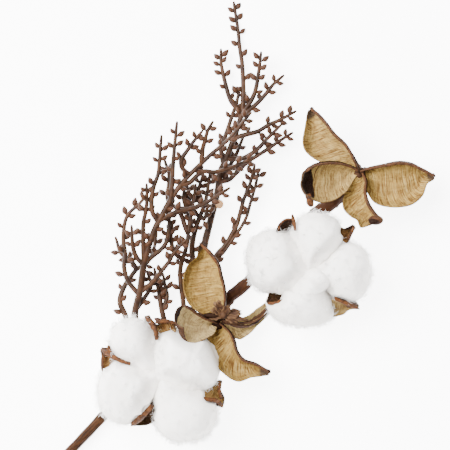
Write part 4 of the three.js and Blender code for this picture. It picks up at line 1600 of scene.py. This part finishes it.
@dataclass(frozen=True)
class Lock:
    """A lock of cotton, softened from its CAD solid."""

    name: str
    heart: PlanPoint
    seams: tuple[float, float]
    pits: tuple[Point, ...] = ()
    pressed: tuple[PlanPoint, ...] = ()
    tufts: tuple[Tuft, ...] = ()
    puff: float = 1.0

    # How far apart the lumps of the surface are, and how high.
    LUMPS = ((13, 1.0), (5, 0.5), (1.8, 0.32))
    VOXEL = 0.85
    SOFTENINGS = 60
    # In millimetres: the valleys between locks, how far a lock leans on the next one, and the
    # dents that a burr's tips and a husk leave.
    VALLEY_DEPTH = 6.5
    VALLEY_WIDTH = 4.2
    LEAN = 2.0
    LEAN_WIDTH = 4.0
    PIT_DEPTH = 15.0
    PRESS_DEPTH = 16.0

    def build(
        self, node: bpy.types.Object, seed: int, finish: bpy.types.Material
    ) -> bpy.types.Object:
        """Softens the CAD solid, puffs it up and grows its fibres.

        Args:
            node: The CAD node.
            seed: Draws this lock's fibres.
            finish: The cotton.

        Returns:
            The new piece.
        """
        carrier = placed("lock", self._solid(node))
        remesh = carrier.modifiers.new("remesh", "REMESH")
        remesh.mode = "VOXEL"
        remesh.voxel_size = self.VOXEL * MM
        smooth = carrier.modifiers.new("smooth", "SMOOTH")
        smooth.factor = 0.5
        smooth.iterations = self.SOFTENINGS
        skin = baked(carrier)
        self._puff_up(skin)
        full = Fuzz(seed=seed).grow(placed("lock", skin), finish)
        lifted(full)
        full.shade_smooth()
        return placed(self.name, full)

    def _solid(self, node: bpy.types.Object) -> bpy.types.Mesh:
        """Copies the CAD solid and adds the tufts to it.

        Args:
            node: The CAD node.

        Returns:
            A closed mesh for each of them, as one.
        """
        mesh = bpy.data.meshes.new(self.name)
        soft = bmesh.new()
        soft.from_mesh(node.data)
        bmesh.ops.remove_doubles(soft, verts=soft.verts, dist=CORNER_WELD)
        soft.to_mesh(mesh)
        soft.free()
        for tuft in self.tufts:
            knot = Skin()
            knot.tube(ball(tuft.at, tuft.size, 14, 20))
            join(mesh, knot.mesh("knot"))
        return mesh

    def _puff_up(self, mesh: bpy.types.Mesh) -> None:
        """Moves the surface out along its normals, in soft lumps, but never below the table.

        Args:
            mesh: The lock's smooth skin.
        """
        count = len(mesh.vertices)
        points = np.empty(count * 3)
        normals = np.empty(count * 3)
        mesh.vertices.foreach_get("co", points)
        mesh.vertex_normals.foreach_get("vector", normals)
        points = points.reshape(-1, 3) / MM
        swell = np.full(count, self.puff)
        for size, height in self.LUMPS:
            swell = swell + height * cloud(points, size)
        points = points + normals.reshape(-1, 3) * swell[:, None]
        points = points + self._spread(points)
        points[:, 2] -= self._sink(points)
        points[:, 2] = np.maximum(points[:, 2], TABLE_GAP)
        mesh.vertices.foreach_set("co", (points * MM).ravel())
        top = points[:, 2].max()
        # deep rises towards the lower parts of the lock; the finish paints shade with it, and more
        # fibres grow there.
        deep = np.clip((top - 5 - points[:, 2]) / (0.42 * top), 0, 1)
        bare = ramp(self._dent(points), 0, 4)
        for name, values in (("deep", deep), ("grown", (1 - bare) * (0.35 + 1.55 * deep))):
            mesh.attributes.new(name, "FLOAT", "POINT").data.foreach_set("value", values)

    def _middle(self) -> np.ndarray:
        """Returns the boll's heart in millimetres of the row frame."""
        return np.array([*self.heart, 0.0]) - OUTLINE_MIDDLE

    def _seam_distances(self, points: np.ndarray) -> list[tuple[np.ndarray, np.ndarray]]:
        """Measures how far points lie from the two planes where the neighbours begin.

        Args:
            points: The surface, in millimetres of the row frame.

        Returns:
            For each plane its direction into the lock, and each point's distance.
        """
        found = []
        for bearing, side in zip(self.seams, (90, -90)):
            turn = math.radians(bearing + side)
            inward = np.array([math.cos(turn), math.sin(turn), 0.0])
            found.append((inward, (points - self._middle()) @ inward))
        return found

    def _spread(self, points: np.ndarray) -> np.ndarray:
        """Finds how the lock leans on its neighbours, most near the heart.

        Args:
            points: The surface, in millimetres of the row frame.

        Returns:
            Each point's move.
        """
        reach = np.hypot(*(points - self._middle())[:, :2].T)
        close = ramp(reach, 30, 18)
        moves = np.zeros_like(points)
        for inward, distance in self._seam_distances(points):
            share = bell(np.maximum(distance, 0), self.LEAN_WIDTH) * close
            moves -= inward * (self.LEAN * share)[:, None]
        return moves

    def _sink(self, points: np.ndarray) -> np.ndarray:
        """Finds how far the upper side sinks towards the lock's neighbours.

        Args:
            points: The surface, in millimetres of the row frame.

        Returns:
            Each point's way down.
        """
        wander = 1.8 * cloud(points, 9)
        near = np.zeros(len(points))
        for _, distance in self._seam_distances(points):
            near = np.maximum(near, bell(np.maximum(distance + wander, 0), self.VALLEY_WIDTH))
        depth = np.maximum(self.VALLEY_DEPTH * near, self._dent(points))
        return depth * ramp(points[:, 2], 12, 30)

    def _dent(self, points: np.ndarray) -> np.ndarray:
        """Finds how far the husks and burrs beside the lock dent it.

        Args:
            points: The surface, in millimetres of the row frame.

        Returns:
            Each dent's depth at each point.
        """
        depth = self._pressing(points) if self.pressed else np.zeros(len(points))
        plan = (points + OUTLINE_MIDDLE)[:, :2]
        for x, y, size in self.pits:
            away = np.hypot(*(plan - (x, y)).T)
            share = ramp(away - size, 2.5, -2.5)
            depth = np.maximum(depth, self.PIT_DEPTH * share**1.3)
        return depth

    def _pressing(self, points: np.ndarray) -> np.ndarray:
        """Finds how far a husk that lies on the lock presses it down.

        Args:
            points: The surface, in millimetres of the row frame.

        Returns:
            Each point's way down.
        """
        edge = Route([(x, y, 0.0) for x, y in self.pressed])
        share = np.linspace(0, 1, 60)
        line = (edge.at(share) - OUTLINE_MIDDLE)[:, :2]
        way = edge.heading(share)[:, :2]
        gap = points[:, None, :2] - line
        nearest = np.argmin((gap**2).sum(-1), axis=1)
        best = gap[np.arange(len(points)), nearest]
        side = way[nearest, 0] * best[:, 1] - way[nearest, 1] * best[:, 0]
        distance = np.hypot(best[:, 0], best[:, 1]) * np.sign(-side)
        return self.PRESS_DEPTH * ramp(distance, 6, -2) ** 1.5


@dataclass(frozen=True)
class Studio:
    """The white floor, the lights and the camera straight above."""

    height: float = 2.5
    aim: Point = (0.00028, 0.01705, 0.020)
    reach: float = 2.0
    sky: float = 0.55

    # Each lamp's name, place and width in metres, and its power in watts.
    LAMPS = (
        ("key", (-0.85, 0.45, 1.55), 1.3, 190.0),
        ("fill", (1.2, 0.4, 1.4), 1.6, 11.0),
        ("low", (-0.5, -1.4, 1.2), 1.4, 14.0),
    )

    def floor(self, finish: bpy.types.Material) -> None:
        """Lays the floor.

        Args:
            finish: Its material.
        """
        r = self.reach
        mesh = bpy.data.meshes.new("floor")
        mesh.from_pydata([(-r, -r, 0), (r, -r, 0), (r, r, 0), (-r, r, 0)], [], [(0, 1, 2, 3)])
        mesh.materials.append(finish)
        placed("floor", mesh)

    def lights(self) -> None:
        """Hangs three wide soft lights and a pale sky."""
        for name, place, size, power in self.LAMPS:
            data = bpy.data.lights.new(name, "AREA")
            data.size = size
            data.energy = power
            light = placed(name, data)
            light.location = place
            way = Vector(self.aim) - light.location
            light.rotation_euler = way.to_track_quat("-Z", "Y").to_euler()
        world = bpy.data.worlds.new("sky")
        world.use_nodes = True
        background = world.node_tree.nodes["Background"]
        background.inputs["Color"].default_value = (1.0, 1.0, 1.0, 1.0)
        background.inputs["Strength"].default_value = self.sky
        bpy.context.scene.world = world

    def camera(self) -> None:
        """Sets the camera straight above, framed like the photograph."""
        data = bpy.data.cameras.new("camera")
        data.sensor_width = 36.0
        data.lens = data.sensor_width * self.height / (PHOTO_WIDTH * MM_PER_PIXEL * MM)
        data.clip_end = 10.0
        camera = placed("camera", data)
        camera.location = Vector(self.aim) + Vector((0.0, 0.0, self.height))
        bpy.context.scene.camera = camera


STEM = Stem(
    stations=((-108.5, -147, 2.6, 2.6), (-75.5, -112.5, 4.8, 2.5), (-58, -94, 7, 2.7),
              (-44, -81, 9, 3.6), (-29, -67.3, 10, 4.3), (-12, -51.6, 10, 4.3), (0.5, -40, 10, 3.3),
              (15, -27, 10, 3.0), (28, -14.5, 10.5, 3.8), (46, 4.5, 14, 3.4), (57, 12.6, 18, 3.4),
              (64, 20, 22, 2.7)),
)

TWIGS = (
    Twig(
        name="twig_long", radius=1.3, bare=0.46,
        line=((-36.5, -74.2, 10), (-43, -62.5, 8.5), (-47, -48.5, 12), (-44, -33.5, 19),
              (-42, -20, 25), (-38.5, -8, 28), (-34, 2.5, 30), (-23.5, 20, 32), (-10.5, 33.5, 33),
              (2, 44.5, 34), (12, 56.5, 35)),
        shoots=(
            Shoot(2.27, 2, 0.2, ((-43, -39.5), (-40, -35), (-38.3, -30.8), (-40, -26))),
            Shoot(2.8, 4, 0.2, ((-50.5, -29), (-52.5, -22), (-51.8, -16), (-52.8, -7.5), (-52, 1.5),
                                (-49.5, 6.5), (-45, 10.5), (-41, 15.5))),
            Shoot(2.9, 10, 0.25, ((-40.5, -32.3), (-37, -29), (-33.5, -24.5), (-29, -19),
                                  (-26.5, -14.5), (-21.5, -9))),
            Shoot(3.93, 5, 0.2, ((-46, -16.5), (-47.7, -11.5), (-48.1, -7), (-48.3, -2.5))),
            Shoot(4, 8, 0.2, ((-42.3, -12.5), (-42.4, -5.5), (-42.2, 1.5), (-41, 7), (-40.4, 13),
                              (-40.5, 19))),
            Shoot(3.97, -3, 0.2, ((-38.3, -16.8), (-33.4, -12.9), (-30.9, -9.8), (-29.8, -5.5),
                                  (-29.1, 0), (-28.5, 7))),
            Shoot(5.93, 5, 0.3, ((-37.5, 6.5), (-38, 13), (-37, 19.5), (-34.5, 26.5), (-33.8, 34),
                                 (-33, 44))),
            Shoot(5.97, -2, 0.25, ((-29.5, 4.5), (-24.5, 7), (-18, 8.5), (-11, 10.8), (-5.3, 14.3),
                                   (0.5, 18))),
            Shoot(6.35, 6, 0.3, ((-28.5, 12), (-27.4, 20), (-27, 28.5), (-26.3, 37.5), (-25, 51))),
            Shoot(7.05, -3, 0.3, ((-18.5, 21.8), (-14.5, 25.5), (-11, 27.8), (-6, 27.3),
                                  (-0.5, 28.5), (4.5, 30.3), (13.5, 34))),
            Shoot(7.42, 5, 0.15, ((-22, 29.3), (-22.5, 34), (-19.8, 38), (-16.3, 43), (-13, 47))),
            Shoot(7.87, 6, 0.2, ((-11.5, 39.3), (-10.5, 42.8), (-9, 48.5), (-7.3, 51.5))),
        ),
    ),
    Twig(
        name="twig_low", radius=1.15, bare=0.42,
        line=((-42, -79.2, 9), (-48.5, -65.5, 7), (-51.5, -49, 8), (-54.8, -40.5, 8.5),
              (-53, -33, 8.5), (-49.5, -27.5, 8), (-46, -23, 8), (-41.5, -20.5, 8),
              (-38.5, -16.5, 8), (-37, -12, 8), (-36, -6, 8)),
        shoots=(Shoot(6, 0, 0.3, ((-49.5, -18.5), (-54.5, -14.5), (-56.5, -8.5))),),
    ),
    Twig(
        name="twig_short", radius=1.1, bare=0.35,
        line=((-27.5, -65.9, 10), (-30, -56.5, 9), (-32.5, -46.5, 10), (-33.7, -40.5, 10.5),
              (-34.5, -35.3, 10.5), (-35.5, -30, 10.5), (-36.5, -24.8, 10.5)),
        shoots=(Shoot(2.3, 1, 0.2, ((-31.3, -41.5), (-30.2, -37), (-31, -32.9), (-32, -27.5))),),
    ),
    Twig(
        name="twig_side", radius=0.85, bare=0.3,
        line=((-18, -57.1, 10), (-21, -46.5, 10.5), (-22, -38, 12), (-23, -31, 13),
              (-23.4, -24.4, 14), (-22.4, -19, 16), (-20.7, -13.8, 18), (-19.5, -8.5, 19),
              (-18.8, -1.5, 19.5), (-17.5, 5.5, 20), (-16.5, 12, 20), (-15.5, 19, 20)),
        shoots=(
            Shoot(7.6, 1, 0.4, ((-20.5, -1.5), (-22.5, 4.5), (-25.5, 9), (-28.8, 11.5), (-30, 15),
                                (-29.3, 21), (-29.3, 27), (-31, 32.5))),
            Shoot(5.2, 3, 0.2, ((-26, -14.5), (-28, -8), (-27.5, -1))),
            Shoot(9.2, 2, 0.1, ((-20, 9.5), (-21.5, 14), (-21, 19))),
        ),
    ),
    Twig(
        name="twig_middle", radius=1.2, bare=0.38,
        line=((-11, -50.6, 10), (-14, -37.5, 10), (-16, -27.5, 10.5), (-16.8, -18.5, 11.5),
              (-17.2, -11.5, 12), (-16, -4.5, 12.5), (-14, 2, 13), (-12, 7, 13), (-10, 13, 13),
              (-9, 18.5, 13.5), (-8, 26, 14)),
        shoots=(
            Shoot(5, 1, 0.15, ((-18.2, 1), (-19.3, 7.5), (-18.5, 13.5), (-19.5, 20))),
            Shoot(6.4, 2, 0.15, ((-10.5, 3.6), (-9.3, 8.3))),
            Shoot(7.5, 0, 0.15, ((-13.6, 12.5), (-13.8, 18), (-12, 24.5))),
        ),
    ),
    Twig(
        name="twig_tall", radius=1.35, bare=0.42,
        line=((-6.5, -46.5, 9), (-9.5, -32.5, 6.5), (-11, -18.5, 6), (-10.5, -10, 6),
              (-8.5, -1.5, 6), (-6.5, 6.5, 6.5), (-4, 17, 7), (-2.5, 27.5, 8), (0.5, 34, 9),
              (4, 43.5, 9), (6.5, 50.5, 9), (9, 59.5, 8), (9.6, 70.5, 6.5), (9, 84.5, 4.5),
              (7.9, 91.5, 3.4), (6.7, 103, 1.6), (4.9, 114.6, 0.3)),
        scar=Scar(at=(-3.1, 10.9, 8.6), radius=2.4),
        shoots=(
            Shoot(7.6, -3, 0.15, ((-2, 40), (0.4, 47), (2.2, 52.3), (4, 58), (6, 63.5), (7.4, 70))),
            Shoot(6.4, -3, 0.1, ((0, 24), (2, 30), (5.9, 37), (9.3, 45.5))),
            Shoot(10.9, -2.5, 0.25, ((4, 63.5), (2, 67.5), (0.2, 74), (-1, 79.2), (-2, 84.5),
                                     (-2.1, 89.7))),
            Shoot(10.8, 4, 0.2, ((13.7, 65), (16, 70.5), (17.3, 77.5), (18, 82.7), (18.6, 88))),
            Shoot(10.7, 0, 0.2, ((16.5, 63.3), (21.5, 68.7), (25, 73.2), (29, 76.7))),
            Shoot(9.1, 3, 0.2, ((7, 46), (12.3, 47.5), (17.5, 49), (22.9, 52.3), (28, 54.5),
                                (35, 58.3))),
            Shoot(8.05, 3, 0.25, ((5.3, 34.5), (9, 34.7), (13.4, 37), (17.5, 40), (21, 44),
                                  (24.5, 47.5), (28, 51))),
            Shoot(6.5, 2, 0.25, ((1.8, 23.5), (5.3, 26.6), (8.8, 30.2), (12.5, 33.5), (17.5, 36.6),
                                 (22.9, 40), (28, 43.6), (33.4, 47))),
        ),
    ),
    Twig(
        name="twig_right", radius=0.45, bare=0.22,
        line=((-2, -42.3, 9.5), (-4, -30, 7.5), (-4.8, -19.5, 8), (-0.5, -14, 9), (4, -7.5, 10),
              (8.5, -1, 10), (11.5, 4.8, 10), (13, 10.5, 10), (14.5, 15.5, 10), (16, 20.8, 10),
              (17.3, 27, 10)),
        shoots=(
            Shoot(1.75, 6, 0.1, ((-4.5, -16), (-1, -12), (1.9, -8), (4, -4), (6, -0.5), (7.6, 5),
                                 (9, 10.5), (10.6, 15.5), (12.5, 19.8), (13.8, 24.2), (15, 29))),
        ),
    ),
)

BOLL_1_HEART = (-33.5, -77.5)
BOLL_2_HEART = (42.5, -25)

BURRS = (
    Burr(
        name="boll_1_burr", heart_radius=5, stalk_radius=2.6, heart=(*BOLL_1_HEART, 19),
        seat=(-30.5, -68.7, 14.2),
        boats=(
            Boat(tip=(-64.5, -64.5, 26), width=6.5, fin=7, bow=4),
            Boat(tip=(-40.5, -46.8, 26), width=6.5, fin=7, bow=3),
            Boat(tip=(-1, -93.6, 24), width=6.5, fin=7, bow=4),
            Boat(tip=(-48, -104, 20), width=6, fin=7, bow=3, dark=0.6),
        ),
        shells=(
            Shell(
                woody=1, sag=4, back=2,
                rim=((-38.5, -50, 29), (-35, -52.3, 30), (-32.4, -50.4, 31), (-28.5, -50.6, 31),
                     (-24.7, -51.5, 30)),
                margin=((-36.3, -56, 33), (-33, -58.5, 33), (-30, -58.5, 32), (-27, -57, 31),
                        (-24.9, -53, 30)),
            ),
            Shell(
                woody=0.5, sag=2.5, back=1.5,
                rim=((-6, -81.5, 31), (-2.3, -81.2, 30), (-2.6, -86, 28), (-1, -90, 26),
                     (-0.9, -94, 25)),
                margin=((-12, -88, 32), (-10, -90.1, 32), (-6, -90.8, 30), (-3.5, -91.6, 28),
                        (-1, -94.3, 25)),
            ),
            Shell(
                woody=1, sag=2.5, back=1, dark=0.8,
                rim=((-37.3, -92.9, 31), (-39.6, -95.4, 29), (-42.2, -97.8, 27), (-45, -100.5, 24),
                     (-48.3, -103.7, 21)),
                margin=((-35, -95, 28), (-36, -101, 23), (-40, -103.5, 20), (-44, -103.8, 19),
                        (-48.5, -104, 20)),
            ),
            Shell(
                woody=1, sag=2.5, back=1, dark=0.15,
                rim=((-53.6, -70.2, 33), (-56, -69, 32), (-58.8, -67.6, 31), (-61.5, -66, 29),
                     (-64.4, -64.5, 27)),
                margin=((-56, -74, 28), (-61, -75, 25), (-63.8, -72, 24), (-64, -68, 25),
                        (-64.6, -65, 26)),
            ),
        ),
        trims=(
            Ridge(((-64.5, -64.5, 27), (-58.8, -67.6, 33), (-53.6, -70.2, 36), (-48.9, -71.8, 36)),
                  thick=1.25),
            Ridge(((-60.4, -62.3, 31), (-60, -65, 31.5), (-58, -67.5, 31)), thick=1.2),
            Ridge(((-63.6, -76, 25), (-63.8, -72, 27), (-63.2, -68, 28), (-61, -66, 29)),
                  thick=0.9),
            Ridge(((-40.8, -47.4, 28), (-38.3, -50.9, 33), (-35.9, -55.1, 37), (-35.2, -59.3, 38)),
                  thick=1.4),
            Ridge(((-36.2, -50.6, 33), (-32.4, -49.8, 33), (-28.4, -50, 32.5), (-24.9, -51.3, 32)),
                  thick=1.1),
            Ridge(((-1, -94.3, 25), (-4.4, -91.1, 29), (-10, -90.1, 33), (-14, -89, 34)),
                  thick=1.2),
            Ridge(((-2.9, -80.6, 31), (-2.9, -85.5, 29.5), (-2.2, -90, 27.5)), thick=0.9),
            Ridge(((-48.8, -104.3, 22), (-42.8, -98.9, 31), (-37.8, -93.6, 36)), thick=1.6),
        ),
    ),
    Burr(
        name="boll_2_burr", heart_radius=5, stalk_radius=2.6, heart=(*BOLL_2_HEART, 19),
        seat=(30.2, -15.8, 13.6),
        boats=(
            Boat(tip=(67.1, -0.5, 24), width=6, fin=7, bow=4),
            Boat(tip=(69.2, -42.9, 24), width=6.5, fin=7, bow=4, woody=0.2),
            Boat(tip=(21.8, -40.6, 24), width=5, fin=6, bow=3, dark=0.9),
        ),
        shells=(
            Shell(
                woody=0.2, sag=3, back=1, bleach=0.4,
                rim=((56.2, -37.6, 31), (59.5, -39.2, 30), (62.8, -40.6, 29), (66, -42, 27),
                     (69.4, -43, 25)),
                margin=((52, -45, 22), (56.5, -47.3, 21), (61, -46.5, 22), (65, -44, 23),
                        (69.3, -43.4, 24.5)),
            ),
            Shell(
                woody=1, sag=2, back=1,
                rim=((58.5, -4, 30), (60, -1.5, 29), (62.5, -2.3, 28), (65, -1.8, 26),
                     (67, -0.4, 25)),
                margin=((62.5, -9, 31), (63.8, -7.2, 30), (65, -4.5, 28), (66.2, -2.3, 26),
                        (67.1, -0.5, 25)),
            ),
            Shell(
                woody=1, sag=2, back=1, dark=0.9,
                rim=((33, -37.6, 27), (29, -36, 26), (25.6, -33.8, 25), (23.4, -32.8, 24.5),
                     (22.6, -36.5, 24), (21.8, -40.5, 24.5)),
                margin=((32, -40, 28), (29.5, -40.1, 27.5), (27, -40.2, 27), (24.5, -40.4, 26),
                        (22, -40.8, 25)),
            ),
            Shell(
                woody=1, sag=5, hood=0.9, back=2, dark=0.95,
                rim=((42.1, -23.4, 19), (40, -15.6, 20), (38, -7.8, 24), (36.3, -2.2, 30),
                     (35.4, 1.2, 36)),
                margin=((40.6, -24.4, 19), (35.9, -19.2, 20), (31.2, -13, 23), (28, -8.6, 28),
                        (27.4, -4.4, 34)),
            ),
        ),
        trims=(
            Ridge(((34.7, 5.6, 37), (35.6, 1.5, 38.5), (36.4, -3, 39)), thick=1.0),
            Ridge(((27.5, -3.4, 34.5), (28.6, 0.4, 35.4), (31, 2.6, 36), (34.3, 3.2, 36.4)),
                  thick=0.5),
            Ridge(((67.1, -0.3, 25), (65.8, -3.5, 28), (63.8, -7.2, 31))),
            Ridge(((69.8, -43.6, 25), (62.8, -40.6, 29.5), (56.2, -37.6, 32)), thick=1.1),
            Ridge(((22, -40.8, 25), (27, -40.2, 27.5), (33, -38, 29)), thick=1.0),
        ),
    ),
    Burr(
        name="husk_1_burr", heart_radius=3.6, stalk_radius=2.4, heart=(-2.6, -49.4, 20),
        seat=(-1.6, -42.6, 13.8),
        shells=(
            Shell(
                lip=0.55, calm=0.5, dark=0.08, sag=8, hood=0.15, back=5,
                rim=((-2.1, -48.4, 21), (-0.3, -41.6, 25), (-0.5, -33.8, 27), (-2.3, -26.5, 28),
                     (-3.9, -20.3, 28), (-7.8, -14.8, 27), (-10.4, -12, 26.5), (-13, -9.4, 26)),
                margin=((-4.7, -49.4, 21), (-10.4, -46.3, 22), (-17.2, -42.1, 23),
                        (-20.8, -34.8, 24), (-21.1, -27, 25), (-18.9, -20.6, 25), (-14.4, -16, 25),
                        (-13.6, -10.2, 25.5)),
            ),
            Shell(
                lip=0.5, sag=6, hood=0.75, back=5, bleach=1.0, calm=0.3,
                rim=((-4.2, -51, 23), (-7.3, -49.9, 27), (-11.4, -48.1, 31), (-15.1, -45.8, 35),
                     (-17.6, -43.7, 38), (-19.4, -42.6, 42), (-20.2, -42.1, 45)),
                margin=((-4.2, -53, 22), (-6.2, -56.2, 26), (-9.9, -58.2, 30), (-14.6, -60.3, 34),
                        (-18.8, -59.8, 37), (-20.7, -56.7, 41), (-21, -52.5, 44)),
                hole=(0.97, 0.4, 0.1, 0.36),
            ),
            Shell(
                lip=0.5, dark=0.07, sag=7, hood=0.15, back=5,
                rim=((-3.1, -51, 21), (1.6, -55.1, 24), (4.4, -60.3, 26), (6, -66, 27),
                     (9.9, -70.5, 27), (16.1, -72.5, 26), (23.4, -77, 24)),
                margin=((-5.7, -52, 20), (-8.6, -58.8, 22), (-7.3, -66.6, 24), (-2.1, -74.9, 25),
                        (6.2, -80.6, 25), (14, -78.5, 25), (22.9, -77.7, 23.5)),
            ),
            Shell(
                lip=0.45, sag=3, back=1.5, bleach=0.6,
                rim=((-2.1, -49.6, 21.5), (3.1, -50.7, 21.5), (8.3, -51.2, 20.5),
                     (14.6, -50.4, 18.5), (19.2, -47.5, 16.5), (22.9, -43.9, 14.5),
                     (24.4, -41.8, 13.5)),
                margin=((-3.1, -48.4, 20), (1.6, -48.4, 19), (6.2, -49.4, 18), (11.4, -48.1, 16),
                        (16.1, -44.7, 14), (20.8, -41.1, 12.5), (23.9, -39.5, 12.5)),
            ),
            Shell(
                sag=3, back=1.5, bleach=0.6,
                rim=((-2.1, -49.9, 21), (3.1, -51, 21), (8.3, -51.5, 20), (14.6, -50.7, 18),
                     (19.2, -47.8, 16), (22.9, -44.2, 14), (24.4, -42.1, 13)),
                margin=((-2.1, -53, 19), (2.1, -56.2, 17), (7.8, -59, 15), (14, -55.1, 13.5),
                        (18.7, -50.7, 12.5), (22.4, -46.8, 12), (24.2, -44.2, 12)),
            ),
        ),
        trims=(
            # Dark balls by the heart: painted shade in its hollow and in the gap under the left
            # valve's rim.
            Knob(at=(-4.6, -51.3, 18.5), size=(4.2, 3.4, 3.2), shade=1.0),
            Knob(at=(-7.3, -47, 25.5), size=(4.2, 1.6, 2.2), shade=0.9),
            Ridge(((-13.4, -9.2, 26.4), (-10.4, -12, 27), (-7.8, -14.8, 27.4), (-4.6, -19.3, 28)),
                  thick=0.8),
        ),
    ),
    Burr(
        name="husk_2_burr", heart_radius=3.4, stalk_radius=2.3, heart=(69.7, 27.2, 26),
        seat=(63.2, 19, 21.6),
        shells=(
            Shell(
                lip=0.65, bleach=0.12, sag=7.5, hood=0.15, back=5,
                rim=((69.2, 28.1, 27), (66.6, 33.8, 30), (62.4, 41.1, 32), (56.7, 46.5, 32),
                     (52.5, 52, 31), (48.4, 56.8, 29), (43.9, 60.6, 27)),
                margin=((67.1, 28.6, 26), (59.8, 30.7, 27), (50.4, 32.8, 28), (43.2, 37.4, 28),
                        (40.8, 43.2, 28), (41.8, 50.4, 27), (43.4, 59.8, 26.5)),
            ),
            Shell(
                lip=0.6, bleach=0.22, sag=7, hood=0.5, back=5,
                rim=((69.2, 27.6, 28), (65, 30.2, 31), (59.8, 31.6, 34), (54.1, 31.8, 37),
                     (48.5, 31.2, 40), (44.4, 29.6, 44), (41.8, 27.4, 47)),
                margin=((68.6, 26.5, 27), (65.5, 21.8, 30), (61.9, 17.4, 33), (57.2, 13.8, 36),
                        (51, 12.2, 39), (45.9, 13.4, 43), (42.9, 15.5, 47)),
                hole=(0.825, 0.48, 0.15, 0.42),
            ),
            Shell(
                lip=0.75, sag=5, hood=0.6, back=5,
                rim=((71.2, 27, 28), (72.8, 22.4, 31), (72.3, 16.6, 33), (73.8, 10.9, 34),
                     (76.4, 6.8, 34), (79, 4.2, 34), (81.1, 2.6, 34)),
                margin=((69.2, 25.5, 27), (65, 20.8, 29), (61.9, 15.1, 30), (61.9, 8.8, 31),
                        (65.6, 4.7, 32), (69, 2.5, 32), (70.9, -1.1, 32), (76.2, 0.2, 33)),
            ),
            Shell(
                lip=0.75, sag=7.5, hood=0.15, back=5,
                rim=((70.2, 27.8, 27), (74.4, 29.1, 29), (82.2, 30.7, 31), (90, 32, 31),
                     (96.7, 31.2, 29), (101.6, 29, 27), (105.6, 27, 25), (109.2, 25, 23)),
                margin=((70.7, 26.3, 26), (73.3, 18.2, 27), (78.3, 11.9, 28), (86.8, 9.8, 28),
                        (96.6, 11, 27), (102.6, 15.8, 25), (105.1, 21.9, 24), (108.9, 24.3, 22.5)),
            ),
        ),
        trims=(
            Knob(at=(77.9, 2.5, 35), size=(4, 2.6, 2.6)),
            # A black ball on the curled end: painted shade.
            Knob(at=(77.1, 1.9, 36.4), size=(3, 1.7, 1.6), shade=1.0),
            Ridge(((44.7, 9.4, 40), (43.7, 12.6, 41.5), (42.6, 16, 42)), thick=2.1),
        ),
    ),
)

CALYX = Calyx(
    knob=2.3, heart=(-0.8, -46.6, 25.6),
    flakes=(
        Flake(bearing=8, length=8.5, width=5.2, rise=0.8),
        Flake(bearing=58, length=6, width=4.2, rise=3.4),
        Flake(bearing=118, length=8, width=4.4, rise=3.6),
        Flake(bearing=335, length=8, width=4.4, rise=-0.4),
        Flake(bearing=348, length=12.5, width=2.2, rise=0.6),
        Flake(bearing=150, length=6.5, width=3.6, rise=2.2),
        Flake(bearing=192, length=7, width=3.8, rise=0.8),
    ),
)

LOCKS = (
    Lock("boll_1_lock_1", BOLL_1_HEART, (100, 157)),
    Lock("boll_1_lock_2", BOLL_1_HEART, (157, 241),
         pits=((-45, -101, 3.5), (-40, -96, 3.5), (-61.5, -71.5, 3))),
    Lock("boll_1_lock_3", BOLL_1_HEART, (241, 338),
         pits=((-45, -101, 3.5), (-40, -96, 3.5), (-7, -88.5, 4))),
    Lock("boll_1_lock_4", BOLL_1_HEART, (338, 100), pits=((-31, -52.6, 2.5),),
         pressed=((-29, -49), (-24.5, -55.5), (-17, -60.3), (-10.7, -60), (-8.6, -64.2),
                  (-4.4, -72.6), (0, -80))),
    Lock("boll_2_lock_1", BOLL_2_HEART, (44, 111), pits=((61.5, -3.4, 3.2),), puff=0.3),
    Lock("boll_2_lock_2", BOLL_2_HEART, (111, 215), pits=((26, -37.6, 2.6), (23.5, -38, 3))),
    Lock("boll_2_lock_3", BOLL_2_HEART, (215, 323),
         pits=((27, -36.8, 4), (23.5, -38.5, 3), (60, -42, 4.5)),
         tufts=(Tuft(at=(47.6, -29.6, 42.5), size=(5.4, 4.6, 6)),)),
    Lock("boll_2_lock_4", BOLL_2_HEART, (323, 44),
         pits=((60, -42, 4.5), (61.5, -3.4, 3.2)), puff=-0.2),
)


def main() -> None:
    """Builds every piece in order, then the studio."""
    logging.basicConfig(level=logging.INFO, format="%(message)s")
    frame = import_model()
    nodes = frame["nodes"]

    settle(STEM.build(), "stem", BarkFinish().material())

    twig_finish = TwigFinish().material()
    bud = Bud().build()
    for twig in TWIGS:
        settle(twig.build(bud, twig_finish), twig.name, twig_finish)
    bpy.data.objects.remove(bud)

    straw = HuskFinish("dry husk").material()
    for burr in BURRS:
        settle(burr.build(), burr.name, straw)
    settle(CALYX.build(), "husk_1_calyx", CalyxFinish().material())

    cotton = CottonFinish().material()
    for number, lock in enumerate(LOCKS):
        piece = lock.build(nodes[lock.name], 11 + number, cotton)
        settle(piece, lock.name, cotton)

    studio = Studio()
    studio.floor(PaperFinish().material())
    studio.lights()
    studio.camera()

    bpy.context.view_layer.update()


if __name__ == "__main__":
    main()
